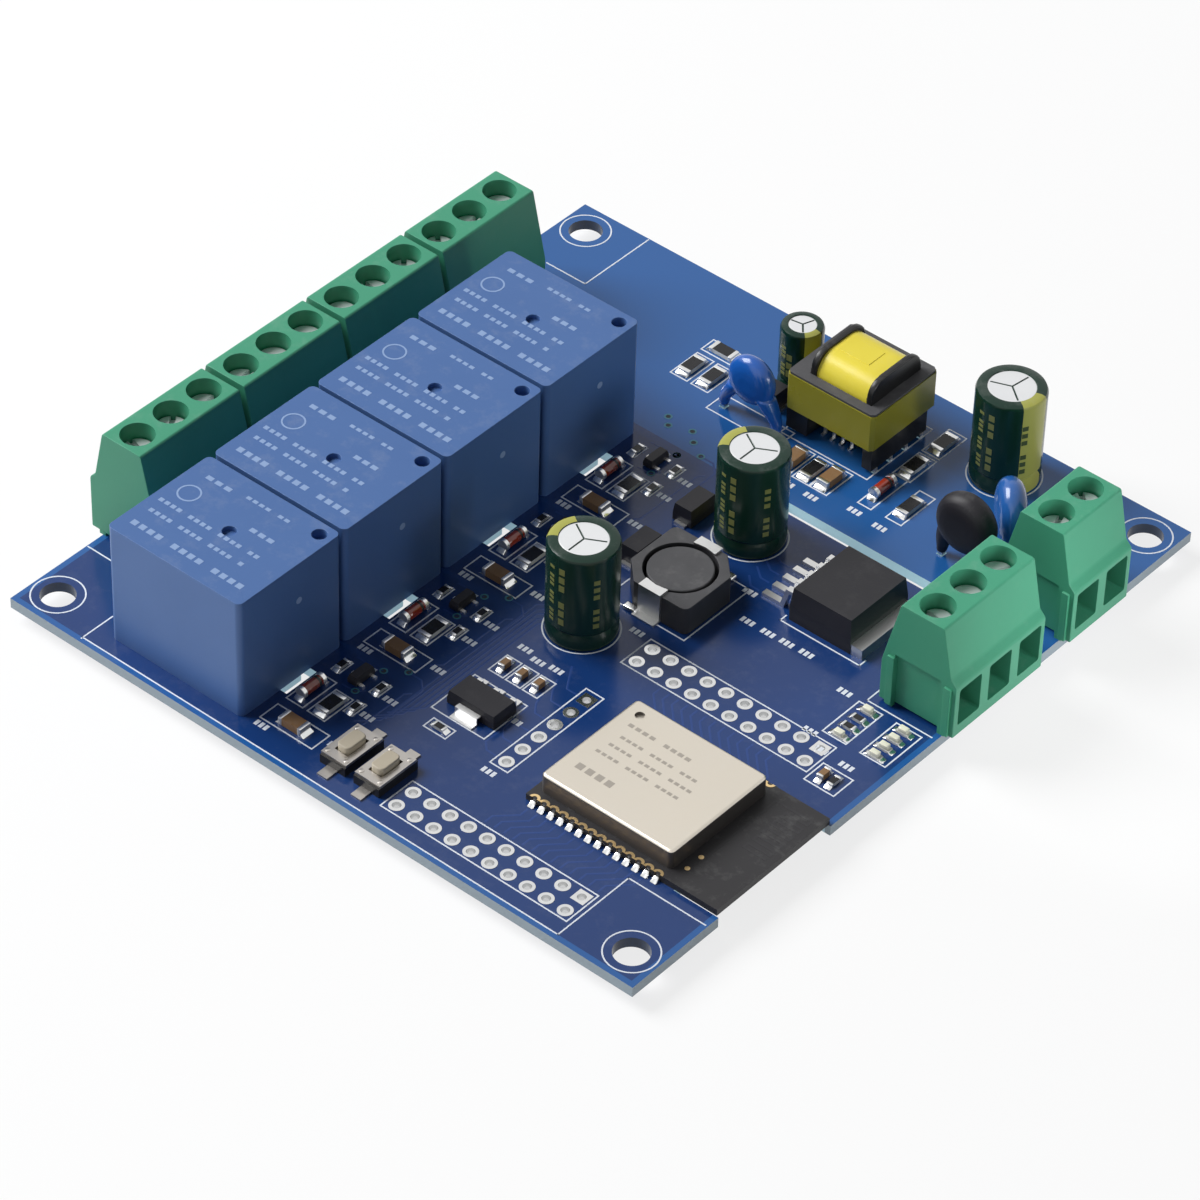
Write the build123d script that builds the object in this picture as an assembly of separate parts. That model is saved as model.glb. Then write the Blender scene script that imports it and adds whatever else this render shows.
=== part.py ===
from build123d import *
import math
import os

# Four-channel relay board with a wireless module and its own mains supply.
# Origin: underside of the board, in the middle of its four mounting holes.
# X runs across the board from the relay contacts to the supply side, Y along it, Z up.
# All sizes are millimetres.

os.makedirs("parts", exist_ok=True)

# Board
BOARD_X = 87.0
BOARD_Y = 93.6
BOARD_T = 1.3

# Repeated round parts and rounded corners are drawn with flat sides, so that the whole board stays light
ROUND_SIDES = 24
WELL_SIDES = 20
SCREW_SIDES = 16
SMALL_SIDES = 8
CORNER_STEPS = 3

# Outline, holes and slots
HOLE_SPACING_X = 80.3
HOLE_SPACING_Y = 86.0
HOLE_R = 2.0
SLOT_W = 1.3
BARRIER_SLOT_W = 1.5
BARRIER_SLOT_X = (7.5, 33.0)
BARRIER_SLOT_Y = 20.45
NOTCH_DEPTH = 5.9
NOTCH_Y = (-33.5, -15.6)
HEADER_PITCH = 2.54
HEADER_HOLE_W = 1.0
FRONT_HEADER_INSET = 34.98
BACK_HEADER_INSET = 31.03
SIDE_HEADER_INSET = 30.96
FRONT_HEADER_Y = 3.8
BACK_HEADER_Y = -9.71
SIDE_HEADER_Y = -30.55
SOLDER_GAP = 0.1
PIN_TIP = 1.6

# Relays
CHANNELS = 4
RELAY_X = 18.9
RELAY_Y = 15.4
RELAY_H = 15.5
RELAY_GAP = 0.55
RELAY_INSET_X = 21.75
RELAY_FRONT_Y = -44.0
RELAY_CORNER_R = 0.9
RELAY_BEVEL = 0.5
RELAY_DIMPLE_R = 0.8
RELAY_DIMPLE_DEPTH = 0.6
RELAY_RECESS_R = 0.85
RELAY_RECESS_DEPTH = 1.2
RELAY_RECESS_INSET = 1.6
RELAY_SLOT = (4.6, 5.6, 1.0)
RELAY_PIN_W = 1.0
RELAY_PIN_T = 0.5
COIL_PIN_ROW = 2.0
CONTACT_PIN_ROW = 14.2
RELAY_PIN_SIDE = 6.0
COMMON_PIN_INSET = 2.35

# Screw terminals: u runs from the well axis towards the wire side
WIRE_PITCH = 5.08
TERMINAL_H = 14.3
TERMINAL_FOOT = 0.4
TERMINAL_BACK = 4.85
TERMINAL_FRONT = 4.95
TERMINAL_TOP_HALF = 2.85
TERMINAL_GAP = 0.6
TERMINAL_AXIS_INSET = 3.3
BROW_Z = 7.3
BROW_RISE = 0.8
WELL_R = 1.95
SCREW_HEAD_SINK = 1.9
SCREW_HEAD_R = 1.8
SCREW_HEAD_H = 1.3
SCREW_R = 1.05
SCREW_SLOT_W = 0.6
SCREW_SLOT_DEPTH = 0.7
RUNNING_FIT = 0.06
CHAMBER_MARGIN = 0.05
CHAMBER_TOP = 9.0
WINDOW_W = 3.7
WINDOW_H = 4.9
WINDOW_SILL = 1.8
CAGE_WALL = 0.4
CAGE_TOP_T = 1.0
CAGE_GAP = 0.1
STRIP_T = 0.6
STRIP_W = 2.2
STRIP_DROP = 0.4
TERMINAL_PIN_W = 1.0
PANEL = (-3.1, 2.9)
RIB_T = 0.5
RIB_W = 0.9
OUTPUT_FRONT_Y = -32.75
SUPPLY_CENTRE_Y = 10.45
MAINS_CENTRE_Y = 28.1

# Wireless module
MODULE_X = 25.5
MODULE_Y = 18.0
MODULE_T = 0.8
MODULE_INSET_X = 0.3
MODULE_CENTRE_Y = -24.4
CAN_X = 17.6
CAN_Y = 15.4
CAN_H = 2.4
CAN_WALL = 0.2
CAN_INSET_X = 0.75
CAN_CORNER = 0.5
CAN_HOLE_R = 0.55
CAN_HOLE_INSET = 1.9

# Round capacitors; the rim is a share of the radius
BIG_CAP_R = 4.0
BIG_CAP_H = 12.5
BIG_CAP_LEAD_PITCH = 3.5
BIG_CAP_AXES = ((4.6, -9.5), (8.4, 14.0), (22.4, 40.9))
SMALL_CAP_R = 2.5
SMALL_CAP_H = 9.2
SMALL_CAP_LEAD_PITCH = 2.0
SMALL_CAP_AXIS = (-3.75, 37.3)
CAP_SHOULDER = 0.6
CAP_RIM = 0.3
CAP_SINK = 0.3
LEAD_W = 0.55

# Transformer
CORE_X = 12.0
CORE_Y = 11.3
CORE_T = 5.0
CORE_Z = 4.0
CORE_CORNER = (0.05, 30.05)
CORE_LEG = 1.25
CORE_BACK = 2.1
CORE_I_BAR = 1.3
CENTRE_LEG = 3.2
BOBBIN_WALL = 0.7
BOBBIN_GAP = 0.06
CORE_CORNER_CUT = 0.4
FLANGE_Z = (1.9, 11.65)
FLANGE_CORNER = 2.0
WINDING_Z = (2.2, 11.4)
WINDING_INSET = 0.15
WINDING_CORNER = 2.3
RAIL_OVERHANG = 0.4
RAIL_Y = 9.8
RAIL_PINS = 4
RAIL_PIN_PITCH = 2.7
RAIL_PIN_INSET = (0.25, 0.6)
RAIL_FOOT = 0.5
RAIL_GAP = 0.15
TAPE_T = 0.1
TAPE_EDGE = 0.3

# Choke
CHOKE_X = 9.9
CHOKE_Y = 10.0
CHOKE_H = 3.6
CHOKE_CENTRE = (8.75, 1.75)
CHOKE_CHAMFER = 2.6
CHOKE_CORNER = 0.7
DRUM_R = 3.65
DRUM_GAP = 0.45
DRUM_FLOOR = 0.8
DRUM_SINK = 0.1
CLIP_W = 3.0
CLIP_T = 0.25
CLIP_REACH = 1.1
CLIP_FOOT = 1.0

# Five-lead regulator
REG_X = 8.3
REG_Y = 9.8
REG_H = 4.4
REG_DRAFT = 0.25
REG_CENTRE = (24.25, 11.2)
REG_LEADS = 5
REG_LEAD_PITCH = 1.72
REG_LEAD_W = 0.8
REG_LEAD_T = 0.45
REG_LEAD_Z = 2.3
REG_LEAD_REACH = 4.6
REG_FOOT = 2.5
REG_LEAD_LEAN = 0.7
REG_TAB_T = 1.3
REG_TAB_REACH = 1.55
REG_TAB_UNDER = 5.5
REG_TAB_Y = 9.6

# Small moulded packages: length along the body, width across it, height
SMALL_REG = (6.5, 3.6, 1.6)
SMALL_REG_CENTRE = (5.15, -26.1)
SMALL_REG_PITCH = 2.3
TRANSISTOR = (2.9, 1.3, 1.0)
TRANSISTOR_PITCH = 1.9
TRANSISTOR_LEAD = (0.6, 0.4, 0.2)
CONTROLLER = (4.9, 3.9, 1.5)
CONTROLLER_CENTRE = (5.3, 35.5)
CONTROLLER_PITCH = 1.27
POWER_DIODE = (4.3, 2.6, 2.2)
POWER_DIODE_LEAD = (0.45, 1.5, 0.3)
POWER_DIODE_SPOTS = ((1.6, 12.7, 90), (1.65, 3.7, 90), (-5.1, 33.4, 0))
PACKAGE_DRAFT = 0.15
PACKAGE_STANDOFF = 0.1
LEAD_T = 0.2

# Chip parts: length over the ends, width and height
CHIP_1206 = (3.2, 1.6, 0.6)
CHIP_1206_TALL = (3.2, 1.6, 1.0)
CHIP_0603 = (1.6, 0.8, 0.45)
CHIP_0603_TALL = (1.6, 0.8, 0.8)
CHIP_LAMP = (1.6, 0.8, 0.8)
LAMP_EDGE = 0.12
LAMP_PITCH = 1.6
GLASS_DIODE_R = 0.7
GLASS_DIODE_L = 3.5

# Push buttons
SWITCH_X = 3.5
SWITCH_Y = 6.0
SWITCH_BASE_H = 1.1
SWITCH_COVER_T = 0.35
SWITCH_OFFSETS = (11.05, 15.75)
SWITCH_CENTRE_Y = -40.45
SWITCH_FOOT_REACH = 1.6
SWITCH_FOOT_W = 1.4
BUTTON_X = 1.75
BUTTON_Y = 3.1
BUTTON_H = 1.15
BUTTON_CORNER = 0.45
BUTTON_GAP = 0.08
BUTTON_TRAVEL = 0.25
BUTTON_FLANGE = 0.3

# Coated discs: radius, thickness, bottom height and lead spacing
SAFETY_DISC = (3.1, 2.9, 2.67, 7.5)
SAFETY_DISC_AXIS = (-4.2, 29.25)
VARISTOR_DISC = (3.7, 3.3, 1.5, 5.0)
VARISTOR_INSET_X = 9.8
VARISTOR_Y = 31.5
VARISTOR_TURN = 135
THERMISTOR_DISC = (3.75, 3.3, 2.25, 6.0)
THERMISTOR_INSET_X = 11.4
THERMISTOR_Y = 25.75
DISC_EDGE = 0.9
DISC_LEAD_W = 0.65
DISC_FOOT_W = 1.1
DISC_FOOT_Z = 0.4

TOP = BOARD_T
LEFT = -BOARD_X / 2
RIGHT = BOARD_X / 2
OUTPUT_POLES = 3
CHANNEL_PITCH = max(RELAY_Y + RELAY_GAP, OUTPUT_POLES * WIRE_PITCH + TERMINAL_GAP)
RELAY_YS = [RELAY_FRONT_Y + RELAY_Y / 2 + n * CHANNEL_PITCH for n in range(int(CHANNELS))]
RELAY_CENTRE_X = LEFT + RELAY_INSET_X
RELAY_RIGHT = RELAY_CENTRE_X + RELAY_X / 2
DRIVER_X = RELAY_RIGHT + 1.25


def cuboid(x, y, z):
    """A cuboid between the two ends given for each axis."""
    size = [span[1] - span[0] for span in (x, y, z)]
    middle = [(span[0] + span[1]) / 2 for span in (x, y, z)]
    return Pos(*middle) * Box(*size)


def around(centre, length):
    """The two ends of a length about its middle."""
    return (centre - length / 2, centre + length / 2)


def prism(radius, sides, x, y, z):
    """An upright bar with flat sides between two heights; the radius reaches its corners."""
    return extrude(Pos(x, y, z[0]) * RegularPolygon(radius, sides), amount=z[1] - z[0])


def soft_block(x, y, z, radius):
    """An upright block whose four corners are rounded in a few flat steps."""
    points = []
    for turn, cx, cy in ((0, x[1], y[1]), (90, x[0], y[1]), (180, x[0], y[0]), (270, x[1], y[0])):
        middle = (cx - radius * math.copysign(1, cx - sum(x) / 2), cy - radius * math.copysign(1, cy - sum(y) / 2))
        for step in range(CORNER_STEPS + 1):
            angle = math.radians(turn + 90 * step / CORNER_STEPS)
            points.append((middle[0] + radius * math.cos(angle), middle[1] + radius * math.sin(angle), z[0]))
    return extrude(make_face(Polyline(*points, close=True)), amount=z[1] - z[0])


def row(count, pitch):
    """Offsets of a centred row."""
    last = int(count) - 1
    return [(n - last / 2) * pitch for n in range(last + 1)]


def save(name, solids):
    """Write one node from a list of separate solids."""
    shape = solids[0] if len(solids) == 1 else Compound(children=[s for group in solids for s in group.solids()])
    export_step(shape, f"parts/{name}.step")


# Places of the screw terminals: centre of the row of wells, turn of the wire side, number of poles
OUTPUT_X = LEFT + TERMINAL_AXIS_INSET
SUPPLY_X = RIGHT - TERMINAL_AXIS_INSET - 0.3
OUTPUT_YS = [OUTPUT_FRONT_Y + OUTPUT_POLES * WIRE_PITCH / 2 + n * CHANNEL_PITCH for n in range(int(CHANNELS))]
TERMINALS = [(OUTPUT_X, y, 180, OUTPUT_POLES) for y in OUTPUT_YS]
TERMINALS.append((SUPPLY_X, SUPPLY_CENTRE_Y, 0, 3))
TERMINALS.append((SUPPLY_X, MAINS_CENTRE_Y, 0, 2))


def terminal_place(terminal):
    """Where a terminal's own frame lies: u along X, poles along Y, heights from the board."""
    x, y, turn, poles = terminal
    return Pos(x, y, TOP) * Rot(0, 0, turn)


def pole_places():
    """The place of every pole of every terminal."""
    return [terminal_place(t) * Pos(0, v, 0) for t in TERMINALS for v in row(t[3], WIRE_PITCH)]


# Sizes inside a terminal, with heights from the board
HEAD_TOP = TERMINAL_H - SCREW_HEAD_SINK
HEAD_BOTTOM = HEAD_TOP - SCREW_HEAD_H
WINDOW_TOP = WINDOW_SILL + WINDOW_H
CHAMBER_HALF = WELL_R + CHAMBER_MARGIN
STRIP_Z = WINDOW_TOP - STRIP_DROP
CAGE_W = WINDOW_W - 2 * CAGE_GAP
CAGE_U = (STRIP_T + CAGE_GAP - CHAMBER_HALF, CHAMBER_HALF - CAGE_GAP)
CAGE_INSIDE_TOP = STRIP_Z + RUNNING_FIT
CAGE_TOP = CAGE_INSIDE_TOP + CAGE_TOP_T
LEG_U = (-CHAMBER_HALF, STRIP_T - CHAMBER_HALF)
PIN_U = sum(LEG_U) / 2
BORE_R = (SCREW_R + RUNNING_FIT) / math.cos(math.pi / 6)


def terminal_housing(poles):
    """Moulded block with a deep well, a wire window and a cage chamber for each pole, and dovetail ribs."""
    end = poles * WIRE_PITCH / 2
    outline = [
        (-TERMINAL_BACK, TERMINAL_FOOT),
        (TERMINAL_FRONT, TERMINAL_FOOT),
        (TERMINAL_FRONT, BROW_Z),
        (TERMINAL_FRONT - BROW_RISE, BROW_Z + BROW_RISE),
        (TERMINAL_TOP_HALF, TERMINAL_H),
        (-TERMINAL_TOP_HALF, TERMINAL_H),
        (-TERMINAL_BACK, TERMINAL_H * 0.4),
    ]
    body = extrude(make_face(Plane.XZ * Polyline(*outline, close=True)), amount=end, both=True)
    body -= cuboid(PANEL, (-end, RIB_T - end), (0, BROW_Z))
    for u in (PANEL[0] - RIB_W / 2, PANEL[1] + RIB_W / 2):
        body += cuboid(around(u, RIB_W), (-end, RIB_T - end), (0, TERMINAL_FOOT))
        body += cuboid(around(u, RIB_W), (end - RIB_T, end), (0, TERMINAL_FOOT))
    for v in row(poles, WIRE_PITCH):
        chamber = around(0, 2 * CHAMBER_HALF)
        body -= cuboid(chamber, around(v, 2 * CHAMBER_HALF), (WINDOW_SILL, CHAMBER_TOP))
        body -= cuboid((0, TERMINAL_FRONT), around(v, WINDOW_W), (WINDOW_SILL, WINDOW_TOP))
        body -= prism(WELL_R, WELL_SIDES, 0, v, (CHAMBER_TOP, TERMINAL_H))
        pin_hole = around(v, TERMINAL_PIN_W + SOLDER_GAP)
        body -= cuboid(around(PIN_U, STRIP_T + SOLDER_GAP), pin_hole, (TERMINAL_FOOT, WINDOW_SILL))
    return body


def terminal_screw():
    """Slotted screw that turns on the contact strip; its threaded part is drawn with six flats."""
    screw = prism(SCREW_HEAD_R, SCREW_SIDES, 0, 0, (HEAD_BOTTOM, HEAD_TOP))
    screw += prism(SCREW_R, 6, 0, 0, (STRIP_Z, HEAD_BOTTOM))
    return screw - cuboid(around(0, 2 * SCREW_HEAD_R + 1), around(0, SCREW_SLOT_W), (HEAD_TOP - SCREW_SLOT_DEPTH, HEAD_TOP))


def terminal_clamp():
    """Rising cage: a square loop with a thick bored top."""
    cage = cuboid(CAGE_U, around(0, CAGE_W), (WINDOW_SILL, CAGE_TOP))
    cage -= cuboid(CAGE_U, around(0, CAGE_W - 2 * CAGE_WALL), (WINDOW_SILL + CAGE_WALL, CAGE_INSIDE_TOP))
    return cage - Rot(0, 0, 30) * prism(BORE_R, 6, 0, 0, (CAGE_INSIDE_TOP, CAGE_TOP))


def terminal_pin():
    """Contact strip: a tongue under the screw, bent down behind the cage and narrowed to a solder pin."""
    tongue = cuboid((LEG_U[0], CAGE_U[1] - 0.4), around(0, STRIP_W), (STRIP_Z - STRIP_T, STRIP_Z))
    leg = cuboid(LEG_U, around(0, STRIP_W), (WINDOW_SILL, STRIP_Z - STRIP_T))
    return tongue + leg + cuboid(LEG_U, around(0, TERMINAL_PIN_W), (-BOARD_T - PIN_TIP, WINDOW_SILL))


def relay_pin_spots(y):
    """Common, coil and contact pins of one relay: place, size along X and size along Y."""
    common = RELAY_RIGHT - COMMON_PIN_INSET
    coil = common - COIL_PIN_ROW
    contact = common - CONTACT_PIN_ROW
    spots = [(common, y, RELAY_PIN_T, RELAY_PIN_W)]
    for side in (-RELAY_PIN_SIDE, RELAY_PIN_SIDE):
        spots.append((coil, y + side, RELAY_PIN_W * 0.7, RELAY_PIN_W * 0.7))
        spots.append((contact, y + side, RELAY_PIN_T, RELAY_PIN_W))
    return spots


def relay(y):
    """Sealed case with rounded corners, a dimple and a corner recess in its top."""
    ceiling = TOP + RELAY_H
    case = soft_block(around(RELAY_CENTRE_X, RELAY_X), around(y, RELAY_Y), (TOP, ceiling), RELAY_CORNER_R)
    case = chamfer(case.faces().sort_by(Axis.Z)[-1].edges(), RELAY_BEVEL)
    dimple = (RELAY_CENTRE_X + 0.6, y + 0.2)
    case -= prism(RELAY_DIMPLE_R, SMALL_SIDES, *dimple, (ceiling - RELAY_DIMPLE_DEPTH, ceiling))
    corner = (RELAY_RIGHT - RELAY_RECESS_INSET, y + RELAY_Y / 2 - RELAY_RECESS_INSET)
    return case - prism(RELAY_RECESS_R, SMALL_SIDES, *corner, (ceiling - RELAY_RECESS_DEPTH, ceiling))


def relay_pins():
    """The five flat pins of every relay, through the board."""
    spots = [spot for y in RELAY_YS for spot in relay_pin_spots(y)]
    return [cuboid(around(x, w), around(y, h), (-PIN_TIP, TOP)) for x, y, w, h in spots]


def lead_pair(axis, pitch, turn=0):
    """Two upright lead places either side of an axis."""
    x, y = axis
    step = Vector(pitch / 2, 0, 0).rotate(Axis.Z, turn)
    return [(x - step.X, y - step.Y), (x + step.X, y + step.Y)]


CAPACITORS = [(BIG_CAP_R, BIG_CAP_H, axis, BIG_CAP_LEAD_PITCH) for axis in BIG_CAP_AXES]
CAPACITORS.append((SMALL_CAP_R, SMALL_CAP_H, SMALL_CAP_AXIS, SMALL_CAP_LEAD_PITCH))
SAFETY_PLACE = (SAFETY_DISC, SAFETY_DISC_AXIS, 0)
VARISTOR_PLACE = (VARISTOR_DISC, (SUPPLY_X - VARISTOR_INSET_X, VARISTOR_Y), VARISTOR_TURN)
THERMISTOR_PLACE = (THERMISTOR_DISC, (SUPPLY_X - THERMISTOR_INSET_X, THERMISTOR_Y), 0)
CORE_X0 = CORE_CORNER[0]
CORE_Y0 = CORE_CORNER[1]
CORE_MID_Y = CORE_Y0 + CORE_Y / 2
RAIL_PIN_XS = (CORE_X0 + RAIL_PIN_INSET[0], CORE_X0 + CORE_X - RAIL_PIN_INSET[1])


def lead_spots():
    """Every straight lead through the board: place, width and the height where it ends."""
    leads = []
    for radius, height, axis, pitch in CAPACITORS:
        leads += [(x, y, LEAD_W, TOP) for x, y in lead_pair(axis, pitch)]
    for size, axis, turn in (SAFETY_PLACE, VARISTOR_PLACE, THERMISTOR_PLACE):
        leads += [(x, y, DISC_LEAD_W, TOP + DISC_FOOT_Z) for x, y in lead_pair(axis, size[3], turn)]
    for x in RAIL_PIN_XS:
        leads += [(x, CORE_MID_Y + y, LEAD_W, TOP + RAIL_FOOT) for y in row(RAIL_PINS, RAIL_PIN_PITCH)]
    return leads


def component_leads():
    """Those leads as square bars."""
    return [cuboid(around(x, w), around(y, w), (-PIN_TIP, z)) for x, y, w, z in lead_spots()]


def header_spots():
    """Centres of the empty plated header holes."""
    front = (RIGHT - FRONT_HEADER_INSET, -BOARD_Y / 2 + FRONT_HEADER_Y)
    back = (RIGHT - BACK_HEADER_INSET, BACK_HEADER_Y)
    spots = [(x + n * HEADER_PITCH, y + m * HEADER_PITCH) for x, y in (front, back) for n in range(10) for m in (0, 1)]
    return spots + [(RIGHT - SIDE_HEADER_INSET, SIDE_HEADER_Y + n * HEADER_PITCH) for n in range(6)]


def board_openings():
    """Every rectangular opening of the board: centre, size along X and size along Y."""
    openings = [(x, y, HEADER_HOLE_W, HEADER_HOLE_W) for x, y in header_spots()]
    for y in RELAY_YS:
        openings += [(x, py, w + 2 * SOLDER_GAP, h + 2 * SOLDER_GAP) for x, py, w, h in relay_pin_spots(y)]
    for place in pole_places():
        spot = (place * Pos(PIN_U, 0, 0)).position
        openings.append((spot.X, spot.Y, STRIP_T + 2 * SOLDER_GAP, TERMINAL_PIN_W + 2 * SOLDER_GAP))
    for x, y, w, z in lead_spots():
        openings.append((x, y, w + 2 * SOLDER_GAP, w + 2 * SOLDER_GAP))
    height, reach, arm = RELAY_SLOT
    for y in RELAY_YS:
        right = RELAY_RIGHT + 0.9
        middle = y + 0.45
        openings.append((right - SLOT_W / 2, middle, SLOT_W, height))
        for side in (-1, 1):
            openings.append((right - SLOT_W - reach / 2, middle + side * (height - arm) / 2, reach, arm))
    openings.append((RIGHT - NOTCH_DEPTH / 2, sum(NOTCH_Y) / 2, NOTCH_DEPTH, NOTCH_Y[1] - NOTCH_Y[0]))
    return openings


def circuit_board():
    """Bare board with its outline, notch, slots and drilled holes."""
    with BuildPart() as board:
        with BuildSketch():
            Rectangle(BOARD_X, BOARD_Y)
            with GridLocations(HOLE_SPACING_X, HOLE_SPACING_Y, 2, 2):
                Circle(HOLE_R, mode=Mode.SUBTRACT)
            with Locations((sum(BARRIER_SLOT_X) / 2, BARRIER_SLOT_Y)):
                Rectangle(BARRIER_SLOT_X[1] - BARRIER_SLOT_X[0], BARRIER_SLOT_W, mode=Mode.SUBTRACT)
            for x, y, w, h in board_openings():
                with Locations((x, y)):
                    Rectangle(w, h, mode=Mode.SUBTRACT)
        extrude(amount=BOARD_T)
    return board.part


MODULE_RIGHT_X = RIGHT - MODULE_INSET_X
MODULE_LEFT_X = MODULE_RIGHT_X - MODULE_X
MODULE_TOP = TOP + MODULE_T


def module_board():
    """Thin board of the wireless module."""
    return cuboid((MODULE_LEFT_X, MODULE_RIGHT_X), around(MODULE_CENTRE_Y, MODULE_Y), (TOP, MODULE_TOP))


def shield_can():
    """Drawn sheet lid, open below, with one small hole near a corner."""
    x = (MODULE_LEFT_X + CAN_INSET_X, MODULE_LEFT_X + CAN_INSET_X + CAN_X)
    y = around(MODULE_CENTRE_Y, CAN_Y)
    can = cuboid(x, y, (MODULE_TOP, MODULE_TOP + CAN_H))
    can = chamfer(can.edges().filter_by(Axis.Z), CAN_CORNER)
    can -= cuboid(around(sum(x) / 2, CAN_X - 2 * CAN_WALL), around(MODULE_CENTRE_Y, CAN_Y - 2 * CAN_WALL),
                  (MODULE_TOP, MODULE_TOP + CAN_H - CAN_WALL))
    hole = (x[0] + CAN_HOLE_INSET, y[1] - CAN_HOLE_INSET)
    return can - prism(CAN_HOLE_R, SMALL_SIDES, *hole, (MODULE_TOP, MODULE_TOP + CAN_H))


def capacitor(radius, height, axis):
    """Sleeved round can with a cut shoulder and a sunk top inside the sleeve's rim."""
    can = prism(radius, ROUND_SIDES, 0, 0, (0, height))
    can = chamfer(can.faces().sort_by(Axis.Z)[-1].edges(), CAP_SHOULDER)
    can -= prism(radius * (1 - CAP_RIM), ROUND_SIDES, 0, 0, (height - CAP_SINK, height))
    return Pos(axis[0], axis[1], TOP) * can


# Transformer: an E core and an I bar lie flat round a bobbin that stands on two pin rails
CORE_SPAN = (TOP + CORE_Z, TOP + CORE_Z + CORE_T)
CORE_YS = (CORE_Y0, CORE_Y0 + CORE_Y)
CORE_END = CORE_X0 + CORE_X
E_END = CORE_END - CORE_I_BAR
WINDOW_XS = (CORE_X0 + CORE_BACK, E_END)
FLANGE_XS = (WINDOW_XS[0] + BOBBIN_GAP, WINDOW_XS[1] - BOBBIN_GAP - BOBBIN_WALL)
FLANGE_HALF = CORE_Y / 2 - CORE_LEG - BOBBIN_GAP
RAIL_SPANS = (
    (CORE_X0 - RAIL_OVERHANG, FLANGE_XS[0] + BOBBIN_WALL / 2),
    (FLANGE_XS[1] + BOBBIN_WALL / 2, CORE_END - RAIL_OVERHANG),
)


def transformer_core():
    """The two ferrite pieces."""
    e_core = cuboid((CORE_X0, E_END), CORE_YS, CORE_SPAN)
    e_core -= cuboid(WINDOW_XS, (CORE_YS[0] + CORE_LEG, CORE_MID_Y - CENTRE_LEG / 2), CORE_SPAN)
    e_core -= cuboid(WINDOW_XS, (CORE_MID_Y + CENTRE_LEG / 2, CORE_YS[1] - CORE_LEG), CORE_SPAN)
    i_bar = cuboid((E_END, CORE_END), CORE_YS, CORE_SPAN)
    e_core = chamfer(e_core.edges().filter_by(Axis.Z).group_by(Axis.X)[0], CORE_CORNER_CUT)
    return [e_core, chamfer(i_bar.edges().filter_by(Axis.Z).group_by(Axis.X)[-1], CORE_CORNER_CUT)]


def upright_plate(half, z, corner, x):
    """A plate across X with cut corners."""
    plate = cuboid(x, (CORE_MID_Y - half, CORE_MID_Y + half), (TOP + z[0], TOP + z[1]))
    return chamfer(plate.edges().filter_by(Axis.X), corner)


def leg_sleeve(x, wall):
    """A bar along the centre leg, grown by a wall on every side."""
    grown = BOBBIN_GAP + wall
    return cuboid(x, around(CORE_MID_Y, CENTRE_LEG + 2 * grown), (CORE_SPAN[0] - grown, CORE_SPAN[1] + grown))


def transformer_bobbin():
    """Flanges, the tube round the centre leg and the two rails that hold the pins."""
    bobbin = leg_sleeve((FLANGE_XS[0], FLANGE_XS[1] + BOBBIN_WALL), BOBBIN_WALL)
    for x in FLANGE_XS:
        bobbin += upright_plate(FLANGE_HALF, FLANGE_Z, FLANGE_CORNER, (x, x + BOBBIN_WALL))
    for x in RAIL_SPANS:
        bobbin += cuboid(x, around(CORE_MID_Y, RAIL_Y), (TOP + RAIL_FOOT, TOP + CORE_Z - RAIL_GAP))
    return bobbin - leg_sleeve((CORE_X0, E_END), 0)


def transformer_winding():
    """The taped winding between the flanges."""
    x = (FLANGE_XS[0] + BOBBIN_WALL, FLANGE_XS[1])
    winding = upright_plate(FLANGE_HALF - WINDING_INSET, WINDING_Z, WINDING_CORNER, x)
    return winding - leg_sleeve(x, BOBBIN_WALL)


def core_block(grown):
    """The whole core's outline, grown by a wall, up to the tape's edge."""
    x = (CORE_X0 - grown, CORE_END + grown)
    block = cuboid(x, (CORE_YS[0] - grown, CORE_YS[1] + grown), (CORE_SPAN[0], CORE_SPAN[1] - TAPE_EDGE))
    return chamfer(block.edges().filter_by(Axis.Z), CORE_CORNER_CUT)


def transformer_tape():
    """Tape wrapped once round the side of the core."""
    return core_block(TAPE_T) - core_block(0)


def choke_shield():
    """Ferrite shield with two cut corners round the drum."""
    x, y = CHOKE_CENTRE
    body = cuboid(around(x, CHOKE_X), around(y, CHOKE_Y), (TOP, TOP + CHOKE_H))
    for cut, turned in ((CHOKE_CHAMFER, 1), (CHOKE_CORNER, -1)):
        corners = [e for e in body.edges().filter_by(Axis.Z) if (e.center().X - x) * (e.center().Y - y) * turned > 12]
        body = chamfer(corners, cut)
    return body - prism(DRUM_R + DRUM_GAP, ROUND_SIDES, x, y, (TOP + DRUM_FLOOR, TOP + CHOKE_H))


def choke_drum():
    """Drum core that carries the coil, standing in the shield."""
    return prism(DRUM_R, ROUND_SIDES, *CHOKE_CENTRE, (TOP + DRUM_FLOOR, TOP + CHOKE_H - DRUM_SINK))


def choke_clips():
    """Two folded clips: over the top edge, down the side and out to a foot, with a round bite for the drum."""
    x, y = CHOKE_CENTRE
    top = TOP + CHOKE_H
    clips = []
    for side in (-1, 1):
        face = y + side * CHOKE_Y / 2
        outer = face + side * CLIP_T
        strap = cuboid(around(x, CLIP_W), sorted((face, outer)), (TOP, top + CLIP_T))
        strap += cuboid(around(x, CLIP_W), sorted((face - side * CLIP_REACH, face)), (top, top + CLIP_T))
        strap += cuboid(around(x, CLIP_W), sorted((outer, outer + side * CLIP_FOOT)), (TOP, TOP + CLIP_T))
        clips.append(strap - prism(DRUM_R + DRUM_GAP, ROUND_SIDES, x, y, (top, top + CLIP_T)))
    return clips


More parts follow.
